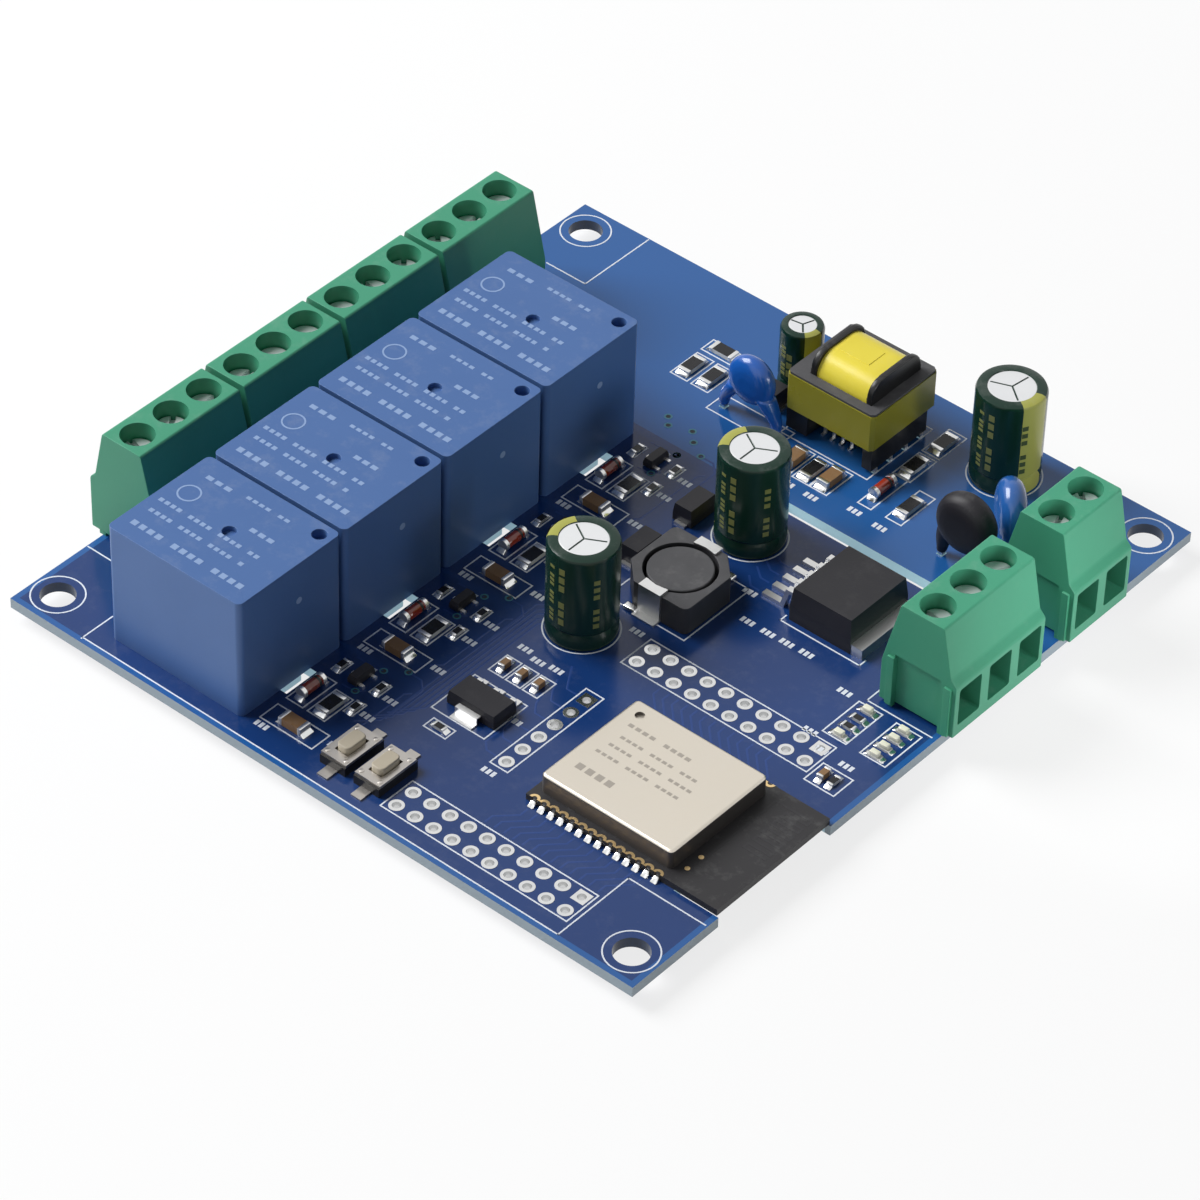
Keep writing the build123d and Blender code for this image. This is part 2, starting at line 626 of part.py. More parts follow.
def drafted(length, width, height, draft, z):
    """A moulded package whose four sides lean in above its parting line."""
    split = z + height * 0.45
    lower = cuboid(around(0, length), around(0, width), (z, split))
    upper = loft([
        Pos(0, 0, split) * Rectangle(length, width),
        Pos(0, 0, z + height) * Rectangle(length - 2 * draft, width - 2 * draft),
    ])
    return lower + upper


def gull_lead(start, reach, z, foot, thick, width, lean=0):
    """A lead that leaves a package along +X, drops and ends in a flat foot on the board."""
    drop = start + reach - foot
    outline = [
        (start, z),
        (drop - lean - thick, z),
        (drop - thick, 0),
        (start + reach, 0),
        (start + reach, thick),
        (drop, thick),
        (drop - lean, z + thick),
        (start, z + thick),
    ]
    return extrude(make_face(Plane.XZ * Polyline(*outline, close=True)), amount=width / 2, both=True)


def regulator_body():
    """Moulded body over the metal tab."""
    body = drafted(REG_X, REG_Y, REG_H, REG_DRAFT, 0)
    body -= cuboid((REG_X / 2 - REG_TAB_UNDER, REG_X / 2), around(0, REG_TAB_Y), (0, REG_TAB_T))
    return Pos(REG_CENTRE[0], REG_CENTRE[1], TOP) * body


def regulator_leads():
    """The metal tab and the five formed leads."""
    place = Pos(REG_CENTRE[0], REG_CENTRE[1], TOP)
    metal = [cuboid((REG_X / 2 - REG_TAB_UNDER, REG_X / 2 + REG_TAB_REACH), around(0, REG_TAB_Y), (0, REG_TAB_T))]
    lead = gull_lead(REG_X / 2, REG_LEAD_REACH, REG_LEAD_Z, REG_FOOT, REG_LEAD_T, REG_LEAD_W, REG_LEAD_LEAN)
    metal += [Pos(0, y, 0) * Rot(0, 0, 180) * lead for y in row(REG_LEADS, REG_LEAD_PITCH)]
    return [place * piece for piece in metal]


def transistor_spots():
    """One driver transistor beside each relay."""
    return [(DRIVER_X + 3.75, y + 5.2) for y in RELAY_YS]


def chip_packages():
    """Every black moulded package: regulator, controller, transistors and power diodes."""
    places = [(SMALL_REG, SMALL_REG_CENTRE, 0), (CONTROLLER, CONTROLLER_CENTRE, 0)]
    places += [(TRANSISTOR, spot, 90) for spot in transistor_spots()]
    places += [(POWER_DIODE, (x, y), turn) for x, y, turn in POWER_DIODE_SPOTS]
    return [Pos(*spot) * Rot(0, 0, turn) * drafted(*size, PACKAGE_DRAFT, TOP + PACKAGE_STANDOFF) for size, spot, turn in places]


def foot_block(start, size):
    """A short flat lead that leaves a package along +X at the board."""
    reach, width, height = size
    return cuboid((start, start + reach), around(0, width), (0, height))


def chip_leads():
    """The leads of those packages."""
    leads = []
    place = Pos(*SMALL_REG_CENTRE, TOP)
    small = gull_lead(SMALL_REG[1] / 2, 1.6, 0.8, 0.9, LEAD_T, 0.7)
    leads += [place * Pos(x, 0) * Rot(0, 0, 90) * small for x in row(3, SMALL_REG_PITCH)]
    leads.append(place * Rot(0, 0, -90) * gull_lead(SMALL_REG[1] / 2, 1.6, 0.8, 0.9, LEAD_T, 3.0))
    place = Pos(*CONTROLLER_CENTRE, TOP)
    fine = gull_lead(CONTROLLER[1] / 2, 1.0, 0.8, 0.5, LEAD_T, 0.4)
    leads += [place * Pos(x, 0) * Rot(0, 0, turn) * fine for turn in (-90, 90) for x in row(4, CONTROLLER_PITCH)]
    tiny = foot_block(TRANSISTOR[1] / 2, TRANSISTOR_LEAD)
    for spot in transistor_spots():
        place = Pos(*spot, TOP)
        leads += [place * Pos(0, y) * tiny for y in row(2, TRANSISTOR_PITCH)]
        leads.append(place * Rot(0, 0, 180) * tiny)
    wide = foot_block(POWER_DIODE[0] / 2, POWER_DIODE_LEAD)
    for x, y, turn in POWER_DIODE_SPOTS:
        leads += [Pos(x, y, TOP) * Rot(0, 0, turn + half) * wide for half in (0, 180)]
    return leads


# Places of the chip parts: x, y and the turn of their length
DRIVER_CHIPS_0603 = ((1.0, 5.25), (6.5, 5.25), (6.5, 1.3))
BIG_RESISTOR_SPOTS = [(14.4, 40.4, 90), (14.4, 35.1, 90), (18.3, 29.3, 90), (6.5, 27.1, 90)]
BIG_RESISTOR_SPOTS += [(-15.0, 32.1, 90), (-12.0, 32.1, 90), (-13.9, 36.4, 0)]
BIG_RESISTOR_SPOTS += [(DRIVER_X + 4.35, y - 0.1, 90) for y in RELAY_YS]
BIG_CERAMIC_SPOTS = [(9.0, 27.1, 90), (3.8, 27.1, 90)]
BIG_CERAMIC_SPOTS += [(DRIVER_X + 3.7, y - 5.0, 0) for y in RELAY_YS]
LAMP_XS = (RIGHT - 7.95, RIGHT - 3.2)
LAMP_YS = [0.45 - n * LAMP_PITCH for n in range(4)]
SMALL_RESISTOR_SPOTS = [(4.0, -31.4, 0), (RIGHT - 3.85, -10.3, 90)]
SMALL_RESISTOR_SPOTS += [(LAMP_XS[0], y, 0) for y in LAMP_YS[1:3]]
SMALL_RESISTOR_SPOTS += [(DRIVER_X + dx, y + dy, 90) for y in RELAY_YS for dx, dy in DRIVER_CHIPS_0603]
SMALL_CERAMIC_SPOTS = [(2.7, -19.6, 90), (5.1, -19.6, 90), (7.45, -19.6, 90), (RIGHT - 5.2, -10.3, 90)]
LAMP_SPOTS = [(LAMP_XS[0], LAMP_YS[0], 0), (LAMP_XS[0], LAMP_YS[3], 0)] + [(LAMP_XS[1], y, 0) for y in LAMP_YS]
GLASS_DIODE_SPOTS = [(14.3, 29.6, 90)] + [(DRIVER_X + 1.2, y + 0.3, 90) for y in RELAY_YS]


def spot_place(spot):
    """Frame of a chip part on the board."""
    x, y, turn = spot
    return Pos(x, y, TOP) * Rot(0, 0, turn)


def chips(size, spots):
    """Chip parts of one size, ends and body together."""
    length, width, height = size
    return [spot_place(spot) * cuboid(around(0, length), around(0, width), (0, height)) for spot in spots]


def indicator_lamps():
    """Chip lamps with the top edge of their clear block cut."""
    return [chamfer(lamp.faces().sort_by(Axis.Z)[-1].edges(), LAMP_EDGE) for lamp in chips(CHIP_LAMP, LAMP_SPOTS)]


def glass_diodes():
    """Tubes of the round glass diodes, lying on one of their eight flats."""
    flat = math.pi / SMALL_SIDES
    lie = Pos(0, 0, GLASS_DIODE_R * math.cos(flat)) * Rot(0, 90, 0) * Rot(0, 0, math.degrees(flat))
    tube = lie * prism(GLASS_DIODE_R, SMALL_SIDES, 0, 0, around(0, GLASS_DIODE_L))
    return [spot_place(spot) * tube for spot in GLASS_DIODE_SPOTS]


def coated_disc(place):
    """A dip-coated disc that stands on its two leads, with coated shoulders down to them."""
    size, axis, turn = place
    radius, thick, bottom, pitch = size
    upright = Pos(0, thick / 2, bottom + radius) * Rot(90, 0, 0)
    body = upright * prism(radius, ROUND_SIDES, 0, 0, (0, thick))
    body = chamfer(body.faces().filter_by(Axis.Y).edges(), DISC_EDGE)
    for side in (-1, 1):
        foot = Pos(side * pitch / 2, 0, DISC_FOOT_Z) * Rectangle(DISC_FOOT_W, DISC_FOOT_W)
        inward = min(pitch / 2, radius * 0.6)
        shoulder = Pos(side * inward, 0, bottom + radius * 0.6) * Rectangle(thick * 0.6, thick * 0.6)
        body += loft([foot, shoulder], ruled=True)
    return Pos(axis[0], axis[1], TOP) * Rot(0, 0, turn) * body


def switch_base():
    """Black base of a push button, hollow for the contact dome."""
    base = cuboid(around(0, SWITCH_X), around(0, SWITCH_Y), (0, SWITCH_BASE_H))
    well = cuboid(around(0, BUTTON_X + 2 * (BUTTON_FLANGE + BUTTON_GAP)), around(0, BUTTON_Y + 0.8), (0.35, SWITCH_BASE_H))
    return base - well


def switch_cover():
    """Pressed cover plate and the two formed feet."""
    z = (SWITCH_BASE_H, SWITCH_BASE_H + SWITCH_COVER_T)
    cover = cuboid(around(0, SWITCH_X), around(0, SWITCH_Y - 0.4), z)
    cover -= cuboid(around(0, BUTTON_X + 2 * BUTTON_GAP), around(0, BUTTON_Y + 2 * BUTTON_GAP), z)
    pieces = [cover]
    for side in (-1, 1):
        y = sorted((side * SWITCH_Y / 2, side * (SWITCH_Y / 2 + SWITCH_FOOT_REACH)))
        pieces.append(cuboid(around(0, SWITCH_FOOT_W), y, (0, 0.2)))
    return pieces


def switch_button():
    """Oblong key with a flange under the cover."""
    bottom = SWITCH_BASE_H - BUTTON_FLANGE
    key = cuboid(around(0, BUTTON_X), around(0, BUTTON_Y), (bottom, SWITCH_BASE_H + BUTTON_H))
    key = chamfer(key.edges().filter_by(Axis.Z), BUTTON_CORNER)
    flange = cuboid(around(0, BUTTON_X + 2 * BUTTON_FLANGE), around(0, BUTTON_Y), (bottom, SWITCH_BASE_H - 0.02))
    return key + flange


save("circuit_board", [circuit_board()])
for n, y in enumerate(RELAY_YS):
    save(f"relay_{n + 1}", [relay(y)])
save("relay_pins", relay_pins())
poles = pole_places()
save("terminal_housings", [terminal_place(terminal) * terminal_housing(terminal[3]) for terminal in TERMINALS])
for n, place in enumerate(poles):
    save(f"terminal_screw_{n + 1:02d}", [place * Rot(0, 0, 37 * n) * terminal_screw()])
save("terminal_clamps", [place * terminal_clamp() for place in poles])
save("terminal_pins", [place * terminal_pin() for place in poles])
save("module_board", [module_board()])
save("shield_can", [shield_can()])
save("capacitors", [capacitor(*cap[:3]) for cap in CAPACITORS])
save("transformer_core", transformer_core())
save("transformer_bobbin", [transformer_bobbin()])
save("transformer_winding", [transformer_winding()])
save("transformer_tape", [transformer_tape()])
save("choke_shield", [choke_shield()])
save("choke_drum", [choke_drum()])
save("choke_clips", choke_clips())
save("regulator_body", [regulator_body()])
save("regulator_leads", regulator_leads())
save("chip_packages", chip_packages())
save("chip_leads", chip_leads())
save("chip_resistors", chips(CHIP_1206, BIG_RESISTOR_SPOTS) + chips(CHIP_0603, SMALL_RESISTOR_SPOTS))
save("chip_capacitors", chips(CHIP_1206_TALL, BIG_CERAMIC_SPOTS) + chips(CHIP_0603_TALL, SMALL_CERAMIC_SPOTS))
save("indicator_lamps", indicator_lamps())
save("glass_diodes", glass_diodes())
save("safety_capacitor", [coated_disc(SAFETY_PLACE)])
save("varistor", [coated_disc(VARISTOR_PLACE)])
save("thermistor", [coated_disc(THERMISTOR_PLACE)])
save("component_leads", component_leads())
switch_places = [Pos(DRIVER_X + offset, SWITCH_CENTRE_Y, TOP) for offset in SWITCH_OFFSETS]
save("switch_bases", [place * switch_base() for place in switch_places])
save("switch_covers", [place * piece for place in switch_places for piece in switch_cover()])
for n, place in enumerate(switch_places):
    save(f"push_button_{n + 1}", [place * switch_button()])
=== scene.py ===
# %% [markdown]
# A relay board: four relays, a row of screw terminals, a shielded wireless module and a small transformer
# supply. The CAD part gives every body at its true size and place. This lesson opens it, gives it real
# finishes, and adds the fine work that a maker would see: solder, print, plated rings, end caps, moulded
# edges and sleeves.

import math

import bpy
from mathutils import Matrix, Vector


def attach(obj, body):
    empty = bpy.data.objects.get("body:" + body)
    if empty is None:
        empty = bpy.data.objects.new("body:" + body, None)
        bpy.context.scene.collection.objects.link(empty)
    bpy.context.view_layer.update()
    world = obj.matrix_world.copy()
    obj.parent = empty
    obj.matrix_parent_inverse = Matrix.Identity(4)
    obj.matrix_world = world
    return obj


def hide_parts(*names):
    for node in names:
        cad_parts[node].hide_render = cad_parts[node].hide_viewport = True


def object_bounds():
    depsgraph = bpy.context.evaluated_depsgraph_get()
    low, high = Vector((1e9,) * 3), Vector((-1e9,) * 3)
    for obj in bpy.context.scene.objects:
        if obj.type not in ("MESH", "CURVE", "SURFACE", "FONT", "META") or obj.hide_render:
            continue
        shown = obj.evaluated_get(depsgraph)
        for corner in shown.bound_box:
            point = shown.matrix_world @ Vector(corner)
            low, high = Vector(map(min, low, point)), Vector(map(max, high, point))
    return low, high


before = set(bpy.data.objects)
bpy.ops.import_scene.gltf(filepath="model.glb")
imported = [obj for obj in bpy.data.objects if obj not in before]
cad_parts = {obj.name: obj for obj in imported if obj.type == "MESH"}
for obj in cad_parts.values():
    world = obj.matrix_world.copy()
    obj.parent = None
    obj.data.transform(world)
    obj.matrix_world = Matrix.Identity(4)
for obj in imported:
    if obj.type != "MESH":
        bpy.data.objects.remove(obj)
size_at_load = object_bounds()
print("CAD box in metres:", size_at_load)

# %% [markdown]
# The photograph was taken from the front right corner, a little above 40 degrees, from far away with a long
# lens. A camera looks down its own -Z axis, so its turn is written as three rows: right, up and back. Long
# lenses keep parallel edges nearly parallel, which is why 168 mm is used here instead of moving a normal
# lens closer.

# %% Place the camera where the photographer stood
MM = 0.001
TOP = 1.3
FOCAL_LENGTH = 168.23
SENSOR_WIDTH = 36
EYE = Vector((289.44, -351.94, 394.68 + TOP)) * MM
RIGHT = Vector((0.75802, 0.65181, 0.02343))
UP = Vector((-0.44343, 0.48867, 0.75138))
BACK = Vector((0.47831, -0.57995, 0.65945))

camera_data = bpy.data.cameras.new("camera")
camera_data.sensor_width = SENSOR_WIDTH
camera_data.lens = FOCAL_LENGTH
camera_data.clip_start = 0.01
camera = bpy.data.objects.new("camera", camera_data)
bpy.context.scene.collection.objects.link(camera)
camera.matrix_world = Matrix.Translation(EYE) @ Matrix((RIGHT, UP, BACK)).transposed().to_4x4()
bpy.context.scene.camera = camera
print("camera at", EYE)

# %% [markdown]
# A product photo is lit by large soft boxes. One broad lamp stands high at the left, so that tops shine and
# the sides that face us are darker, and a weak one at the front fills the shadows. A small third lamp
# stands low at the right and lights the wire side of the terminals there. The world is even and pale, and
# rays that go straight to the camera or bounce off metal see it white, so polished tin shows a white room.

# %% Lay a pale floor and set soft lights
def node(tree, kind, **values):
    """Add a node and set its options and its plain input values."""
    made = tree.nodes.new(kind)
    for key, value in values.items():
        if key in made.inputs:
            made.inputs[key].default_value = value
        elif hasattr(made, key):
            setattr(made, key, value)
        else:
            made.inputs[key.replace("_", " ").title()].default_value = value
    return made


def link(tree, a, out, b, into):
    """Join an output of one node to an input of another."""
    tree.links.new(a.outputs[out], b.inputs[into])


def seen_ray(tree):
    """One for rays from the camera, a reflection or through glass, and nothing for light on the part."""
    rays = node(tree, "ShaderNodeLightPath")
    direct = node(tree, "ShaderNodeMath", operation="MAXIMUM")
    seen = node(tree, "ShaderNodeMath", operation="MAXIMUM")
    link(tree, rays, "Is Camera Ray", direct, 0)
    link(tree, rays, "Is Glossy Ray", direct, 1)
    link(tree, direct, 0, seen, 0)
    link(tree, rays, "Is Transmission Ray", seen, 1)
    return seen


PAPER_WHITE = (0.88, 0.88, 0.88, 1)
WHITE = (1, 1, 1, 1)
SKY_COLOR = (0.86, 0.93, 1.0, 1)
SKY_STRENGTH = 0.09
FLOOR_SIZE = 4
FLOOR_GLOW = 0.8

bpy.context.scene.view_settings.view_transform = "Standard"
bpy.ops.object.select_all(action="DESELECT")
bpy.ops.mesh.primitive_plane_add(size=FLOOR_SIZE, location=(0, 0, size_at_load[0][2]))
floor = bpy.context.object
floor.name = "floor"
bpy.ops.object.transform_apply(location=True, rotation=True, scale=True)
paper = bpy.data.materials.new("paper")
paper.use_nodes = True
tree = paper.node_tree
sheet = tree.nodes["Principled BSDF"]
sheet.inputs["Base Color"].default_value = PAPER_WHITE
sheet.inputs["Roughness"].default_value = 0.9
glow = node(tree, "ShaderNodeEmission", Color=WHITE, Strength=1.0)
seen = seen_ray(tree)
share = node(tree, "ShaderNodeMath", operation="MULTIPLY")
share.inputs[1].default_value = FLOOR_GLOW
blend = node(tree, "ShaderNodeMixShader")
link(tree, seen, 0, share, 0)
link(tree, share, 0, blend, 0)
link(tree, sheet, 0, blend, 1)
link(tree, glow, 0, blend, 2)
link(tree, blend, 0, tree.nodes["Material Output"], "Surface")
floor.data.materials.append(paper)

world = bpy.data.worlds.new("studio")
bpy.context.scene.world = world
world.use_nodes = True
tree = world.node_tree
sky = tree.nodes["Background"]
sky.inputs["Color"].default_value = SKY_COLOR
sky.inputs["Strength"].default_value = SKY_STRENGTH
white = node(tree, "ShaderNodeBackground", Color=WHITE, Strength=1.0)
seen = seen_ray(tree)
chosen = node(tree, "ShaderNodeMixShader")
link(tree, seen, 0, chosen, 0)
link(tree, sky, 0, chosen, 1)
link(tree, white, 0, chosen, 2)
link(tree, chosen, 0, tree.nodes["World Output"], 0)

# name, place and aim in metres, power in watts, size in metres, spread in degrees
LAMPS = (
    ("window", (-0.7, -0.22, 0.7), (0, 0, 0), 14.6, 0.6, 180),
    ("fill", (0.1, -0.8, 0.45), (0, 0, 0), 0.8, 0.8, 180),
    ("right_strip", (0.08, 0.02, 0.022), (0.044, 0.02, 0.01), 0.0042, 0.036, 60),
)
for lamp_name, place, aim, power, size, spread in LAMPS:
    lamp = bpy.data.lights.new(lamp_name, "AREA")
    lamp.energy = power
    lamp.size = size
    lamp.spread = math.radians(spread)
    lamp_object = bpy.data.objects.new(lamp_name, lamp)
    bpy.context.scene.collection.objects.link(lamp_object)
    lamp_object.location = place
    lamp_object.rotation_euler = (Vector(aim) - Vector(place)).to_track_quat("-Z", "Y").to_euler()
    lamp_object.visible_camera = False
print("lamps:", [lamp[0] for lamp in LAMPS])

# %% [markdown]
# Moulded plastic, tin and laminate are never one flat colour. Two small node groups carry what they share.
# The first gives a fine relief for the Bump node and a slow mottling. The second finds the faces that look
# up and lays a little dust there. Each material places the groups with its own numbers, so the detail keeps
# the right scale.

# %% Build the shared grain and dust groups
def new_group(name, inputs, outputs):
    """An empty shader group with named sockets; returns the tree with its two ends."""
    tree = bpy.data.node_groups.new(name, "ShaderNodeTree")
    for socket, default in inputs:
        made = tree.interface.new_socket(socket, in_out="INPUT", socket_type="NodeSocketFloat")
        made.default_value = default
    for socket in outputs:
        tree.interface.new_socket(socket, in_out="OUTPUT", socket_type="NodeSocketFloat")
    return tree, node(tree, "NodeGroupInput"), node(tree, "NodeGroupOutput")


grain, ends_in, ends_out = new_group("moulded grain", (("Scale", 3000.0), ("Mottle Scale", 120.0)),
                                     ("Height", "Mottle"))
place = node(grain, "ShaderNodeTexCoord")
fine = node(grain, "ShaderNodeTexNoise", Detail=3.0, Roughness=0.6)
slow = node(grain, "ShaderNodeTexNoise", Detail=5.0, Roughness=0.55)
for noise, socket in ((fine, "Scale"), (slow, "Mottle Scale")):
    link(grain, place, "Object", noise, "Vector")
    link(grain, ends_in, socket, noise, "Scale")
link(grain, fine, "Fac", ends_out, "Height")
link(grain, slow, "Fac", ends_out, "Mottle")

SPECKS_FROM = 0.52
SPECKS_TO = 0.78
dust, ends_in, ends_out = new_group("dust on top", (("Scale", 400.0), ("Amount", 0.15)), ("Mask",))
place = node(dust, "ShaderNodeTexCoord")
facing = node(dust, "ShaderNodeNewGeometry")
upward = node(dust, "ShaderNodeSeparateXYZ")
specks = node(dust, "ShaderNodeTexNoise", Detail=8.0, Roughness=0.7)
thin = node(dust, "ShaderNodeMapRange")
thin.inputs["From Min"].default_value = SPECKS_FROM
thin.inputs["From Max"].default_value = SPECKS_TO
top_only = node(dust, "ShaderNodeMath", operation="MULTIPLY", use_clamp=True)
amount = node(dust, "ShaderNodeMath", operation="MULTIPLY", use_clamp=True)
link(dust, place, "Object", specks, "Vector")
link(dust, ends_in, "Scale", specks, "Scale")
link(dust, specks, "Fac", thin, "Value")
link(dust, facing, "Normal", upward, "Vector")
link(dust, upward, "Z", top_only, 0)
link(dust, thin, "Result", top_only, 1)
link(dust, top_only, 0, amount, 0)
link(dust, ends_in, "Amount", amount, 1)
link(dust, amount, 0, ends_out, "Mask")
print("groups:", [g.name for g in bpy.data.node_groups])

# %% [markdown]
# Nearly every finish here is one Principled shader: a colour that drifts a little, a roughness that drifts
# with it, and a fine bump. So one recipe builds them all, and each finish only states its own colour, gloss
# and grain. A second colour is mixed in by the mottling, and the dust lies on top of it.

# %% Write the recipe for a finish
DUST_COLOR = (0.62, 0.62, 0.6, 1)
BLACK = (0, 0, 0, 1)
DARKER = 0.86
RELIEF_DEPTH = 0.00005
SMOOTHER = 0.06
ROUGHER = 0.08
LEAST_ROUGH = 0.03


def mixed(tree, a, b):
    """A colour mix: input 0 is the factor, inputs 6 and 7 are its colours, and output 2 is the result."""
    made = node(tree, "ShaderNodeMix", data_type="RGBA")
    made.inputs[6].default_value = a
    made.inputs[7].default_value = b
    return made


def finish(name, color, rough, other=None, metal=0.0, grain_scale=3000.0, bump=0.04, mottle=120.0, dusty=0.1,
           **extra):
    """A material with two drifting colours, drifting roughness, fine bump and a little dust."""
    made = bpy.data.materials.new(name)
    made.use_nodes = True
    tree = made.node_tree
    shader = tree.nodes["Principled BSDF"]
    shader.inputs["Metallic"].default_value = metal
    shader.inputs["Specular IOR Level"].default_value = 0.5 if metal else 0.3
    for key, value in extra.items():
        shader.inputs[key.replace("_", " ")].default_value = value
    relief = node(tree, "ShaderNodeGroup")
    relief.node_tree = grain
    relief.inputs["Scale"].default_value = grain_scale
    relief.inputs["Mottle Scale"].default_value = mottle
    powder = node(tree, "ShaderNodeGroup")
    powder.node_tree = dust
    powder.inputs["Amount"].default_value = dusty
    colors = mixed(tree, (*color, 1), (*(other or [c * DARKER for c in color]), 1))
    dusted = mixed(tree, BLACK, DUST_COLOR)
    rougher = node(tree, "ShaderNodeMapRange")
    rougher.inputs["To Min"].default_value = max(rough - SMOOTHER, LEAST_ROUGH)
    rougher.inputs["To Max"].default_value = rough + ROUGHER
    bumps = node(tree, "ShaderNodeBump")
    bumps.inputs["Strength"].default_value = bump
    bumps.inputs["Distance"].default_value = RELIEF_DEPTH
    link(tree, relief, "Mottle", colors, 0)
    link(tree, colors, 2, dusted, 6)
    link(tree, powder, "Mask", dusted, 0)
    link(tree, dusted, 2, shader, "Base Color")
    link(tree, relief, "Mottle", rougher, "Value")
    link(tree, rougher, "Result", shader, "Roughness")
    link(tree, relief, "Height", bumps, "Height")
    link(tree, bumps, "Normal", shader, "Normal")
    return made


TIN = finish("tin", (0.74, 0.74, 0.73), 0.3, (0.62, 0.62, 0.62), metal=1.0, bump=0.03, mottle=500.0,
             dusty=0.03)
SOLDER = finish("solder", (0.8, 0.8, 0.79), 0.16, (0.62, 0.63, 0.64), metal=1.0, bump=0.2, grain_scale=1500.0,
                mottle=700.0, dusty=0.0)
SCREW_ZINC = finish("zinc_screw", (0.86, 0.87, 0.88), 0.34, (0.7, 0.72, 0.72), metal=0.5, bump=0.06,
                    mottle=500.0)
CAGE_ZINC = finish("cage_zinc", (0.42, 0.44, 0.43), 0.35, (0.3, 0.31, 0.3), metal=1.0, bump=0.1, mottle=500.0)
GOLD = finish("gold_plate", (0.86, 0.64, 0.32), 0.28, (0.7, 0.5, 0.25), metal=1.0, mottle=900.0, dusty=0.0)
PRINT = finish("white_print", (0.78, 0.81, 0.86), 0.45, (0.66, 0.7, 0.78), bump=0.2, grain_scale=6000.0,
               mottle=2500.0, dusty=0.0)
GREEN = finish("terminal_green", (0.058, 0.31, 0.185), 0.36, (0.05, 0.27, 0.16), bump=0.07,
               grain_scale=2600.0, mottle=90.0)
RELAY = finish("relay_blue", (0.07, 0.15, 0.36), 0.34, (0.06, 0.13, 0.32), bump=0.09, grain_scale=2200.0,
               mottle=110.0)
EPOXY = finish("moulded_epoxy", (0.01, 0.01, 0.013), 0.45, (0.017, 0.016, 0.02), bump=0.2, grain_scale=4200.0,
               mottle=400.0, dusty=0.02)
BOBBIN = finish("bobbin_black", (0.012, 0.012, 0.013), 0.3, bump=0.08, mottle=200.0)
FERRITE = finish("ferrite", (0.05, 0.05, 0.054), 0.55, (0.085, 0.084, 0.088), bump=0.35, grain_scale=2600.0,
                 mottle=500.0)
print("finishes so far:", len(bpy.data.materials))

# %% [markdown]
# New pieces are modelled as by hand: a primitive is added at its size, faces are picked by their place or
# normal, and edit mode operators shape it. A few helpers save typing. Everything works in millimetres and
# is written to the mesh in metres, with every object left at the origin, so that all pieces share one
# frame.

# %% Helpers for picking and shaping
def clear():
    """Leave edit mode and select nothing."""
    if bpy.context.object and bpy.context.object.mode != "OBJECT":
        bpy.ops.object.mode_set(mode="OBJECT")
    bpy.ops.object.select_all(action="DESELECT")


def block(x, y, z):
    """A cube between two ends on each axis."""
    clear()
    middle = [(a + b) / 2 * MM for a, b in (x, y, z)]
    bpy.ops.mesh.primitive_cube_add(size=1, location=middle, scale=[(b - a) * MM for a, b in (x, y, z)])
    bpy.ops.object.transform_apply()
    return bpy.context.object


def pick(piece, kind, test):
    """Enter edit mode with the faces, edges or points selected whose middle and direction pass a test."""
    bpy.context.view_layer.objects.active = piece
    bpy.ops.object.mode_set(mode="EDIT")
    bpy.ops.mesh.select_mode(type=kind)
    bpy.ops.mesh.select_all(action="DESELECT")
    bpy.ops.object.mode_set(mode="OBJECT")
    mesh = piece.data
    if kind == "FACE":
        for face in mesh.polygons:
            face.select = bool(test(face.center / MM, face.normal))
    elif kind == "EDGE":
        for edge in mesh.edges:
            a, b = (mesh.vertices[i].co / MM for i in edge.vertices)
            edge.select = bool(test((a + b) / 2, (b - a).normalized()))
    else:
        for point in mesh.vertices:
            point.select = bool(test(point.co / MM, point.normal))
    bpy.ops.object.mode_set(mode="EDIT")


def bevel(piece, test, width, segments=3):
    """Round the edges that pass a test."""
    pick(piece, "EDGE", test)
    bpy.ops.mesh.bevel(offset=width * MM, segments=segments, affect="EDGES", clamp_overlap=True)
    bpy.ops.object.mode_set(mode="OBJECT")
    return piece


def even(piece, smooth=35):
    """Shade smooth by angle, with the large flat faces ruling the normals beside them."""
    clear()
    piece.select_set(True)
    bpy.context.view_layer.objects.active = piece
    bpy.ops.object.shade_smooth_by_angle(angle=math.radians(smooth))
    return modify(piece, "WEIGHTED_NORMAL", keep_sharp=True)


def modify(piece, kind, **values):
    """Add a modifier, set it and apply it."""
    clear()
    piece.select_set(True)
    bpy.context.view_layer.objects.active = piece
    made = piece.modifiers.new(kind.lower(), kind)
    for key, value in values.items():
        setattr(made, key, value)
    bpy.ops.object.modifier_apply(modifier=made.name)
    return piece


def soften(piece, width, segments=2, angle=30):
    """Break every sharp edge."""
    return modify(piece, "BEVEL", width=width * MM, segments=segments, limit_method="ANGLE",
                  angle_limit=math.radians(angle), use_clamp_overlap=True)


def join(pieces):
    """Make one object of several."""
    clear()
    for piece in pieces:
        piece.select_set(True)
    bpy.context.view_layer.objects.active = pieces[0]
    if len(pieces) > 1:
        bpy.ops.object.join()
    return pieces[0]


def carve(piece, cutters):
    """Cut the cutters out of a piece and throw them away."""
    cutter = join(cutters)
    modify(piece, "BOOLEAN", operation="DIFFERENCE", object=cutter, solver="EXACT", use_self=len(cutters) > 1)
    bpy.data.objects.remove(cutter)
    return piece


def open_empty(kind):
    """A new mesh with nothing in it yet, open in edit mode for points, edges or faces."""
    clear()
    bpy.ops.mesh.primitive_plane_add(size=MM)
    bpy.ops.object.mode_set(mode="EDIT")
    bpy.ops.mesh.select_mode(type=kind)
    bpy.ops.mesh.delete(type="VERT")


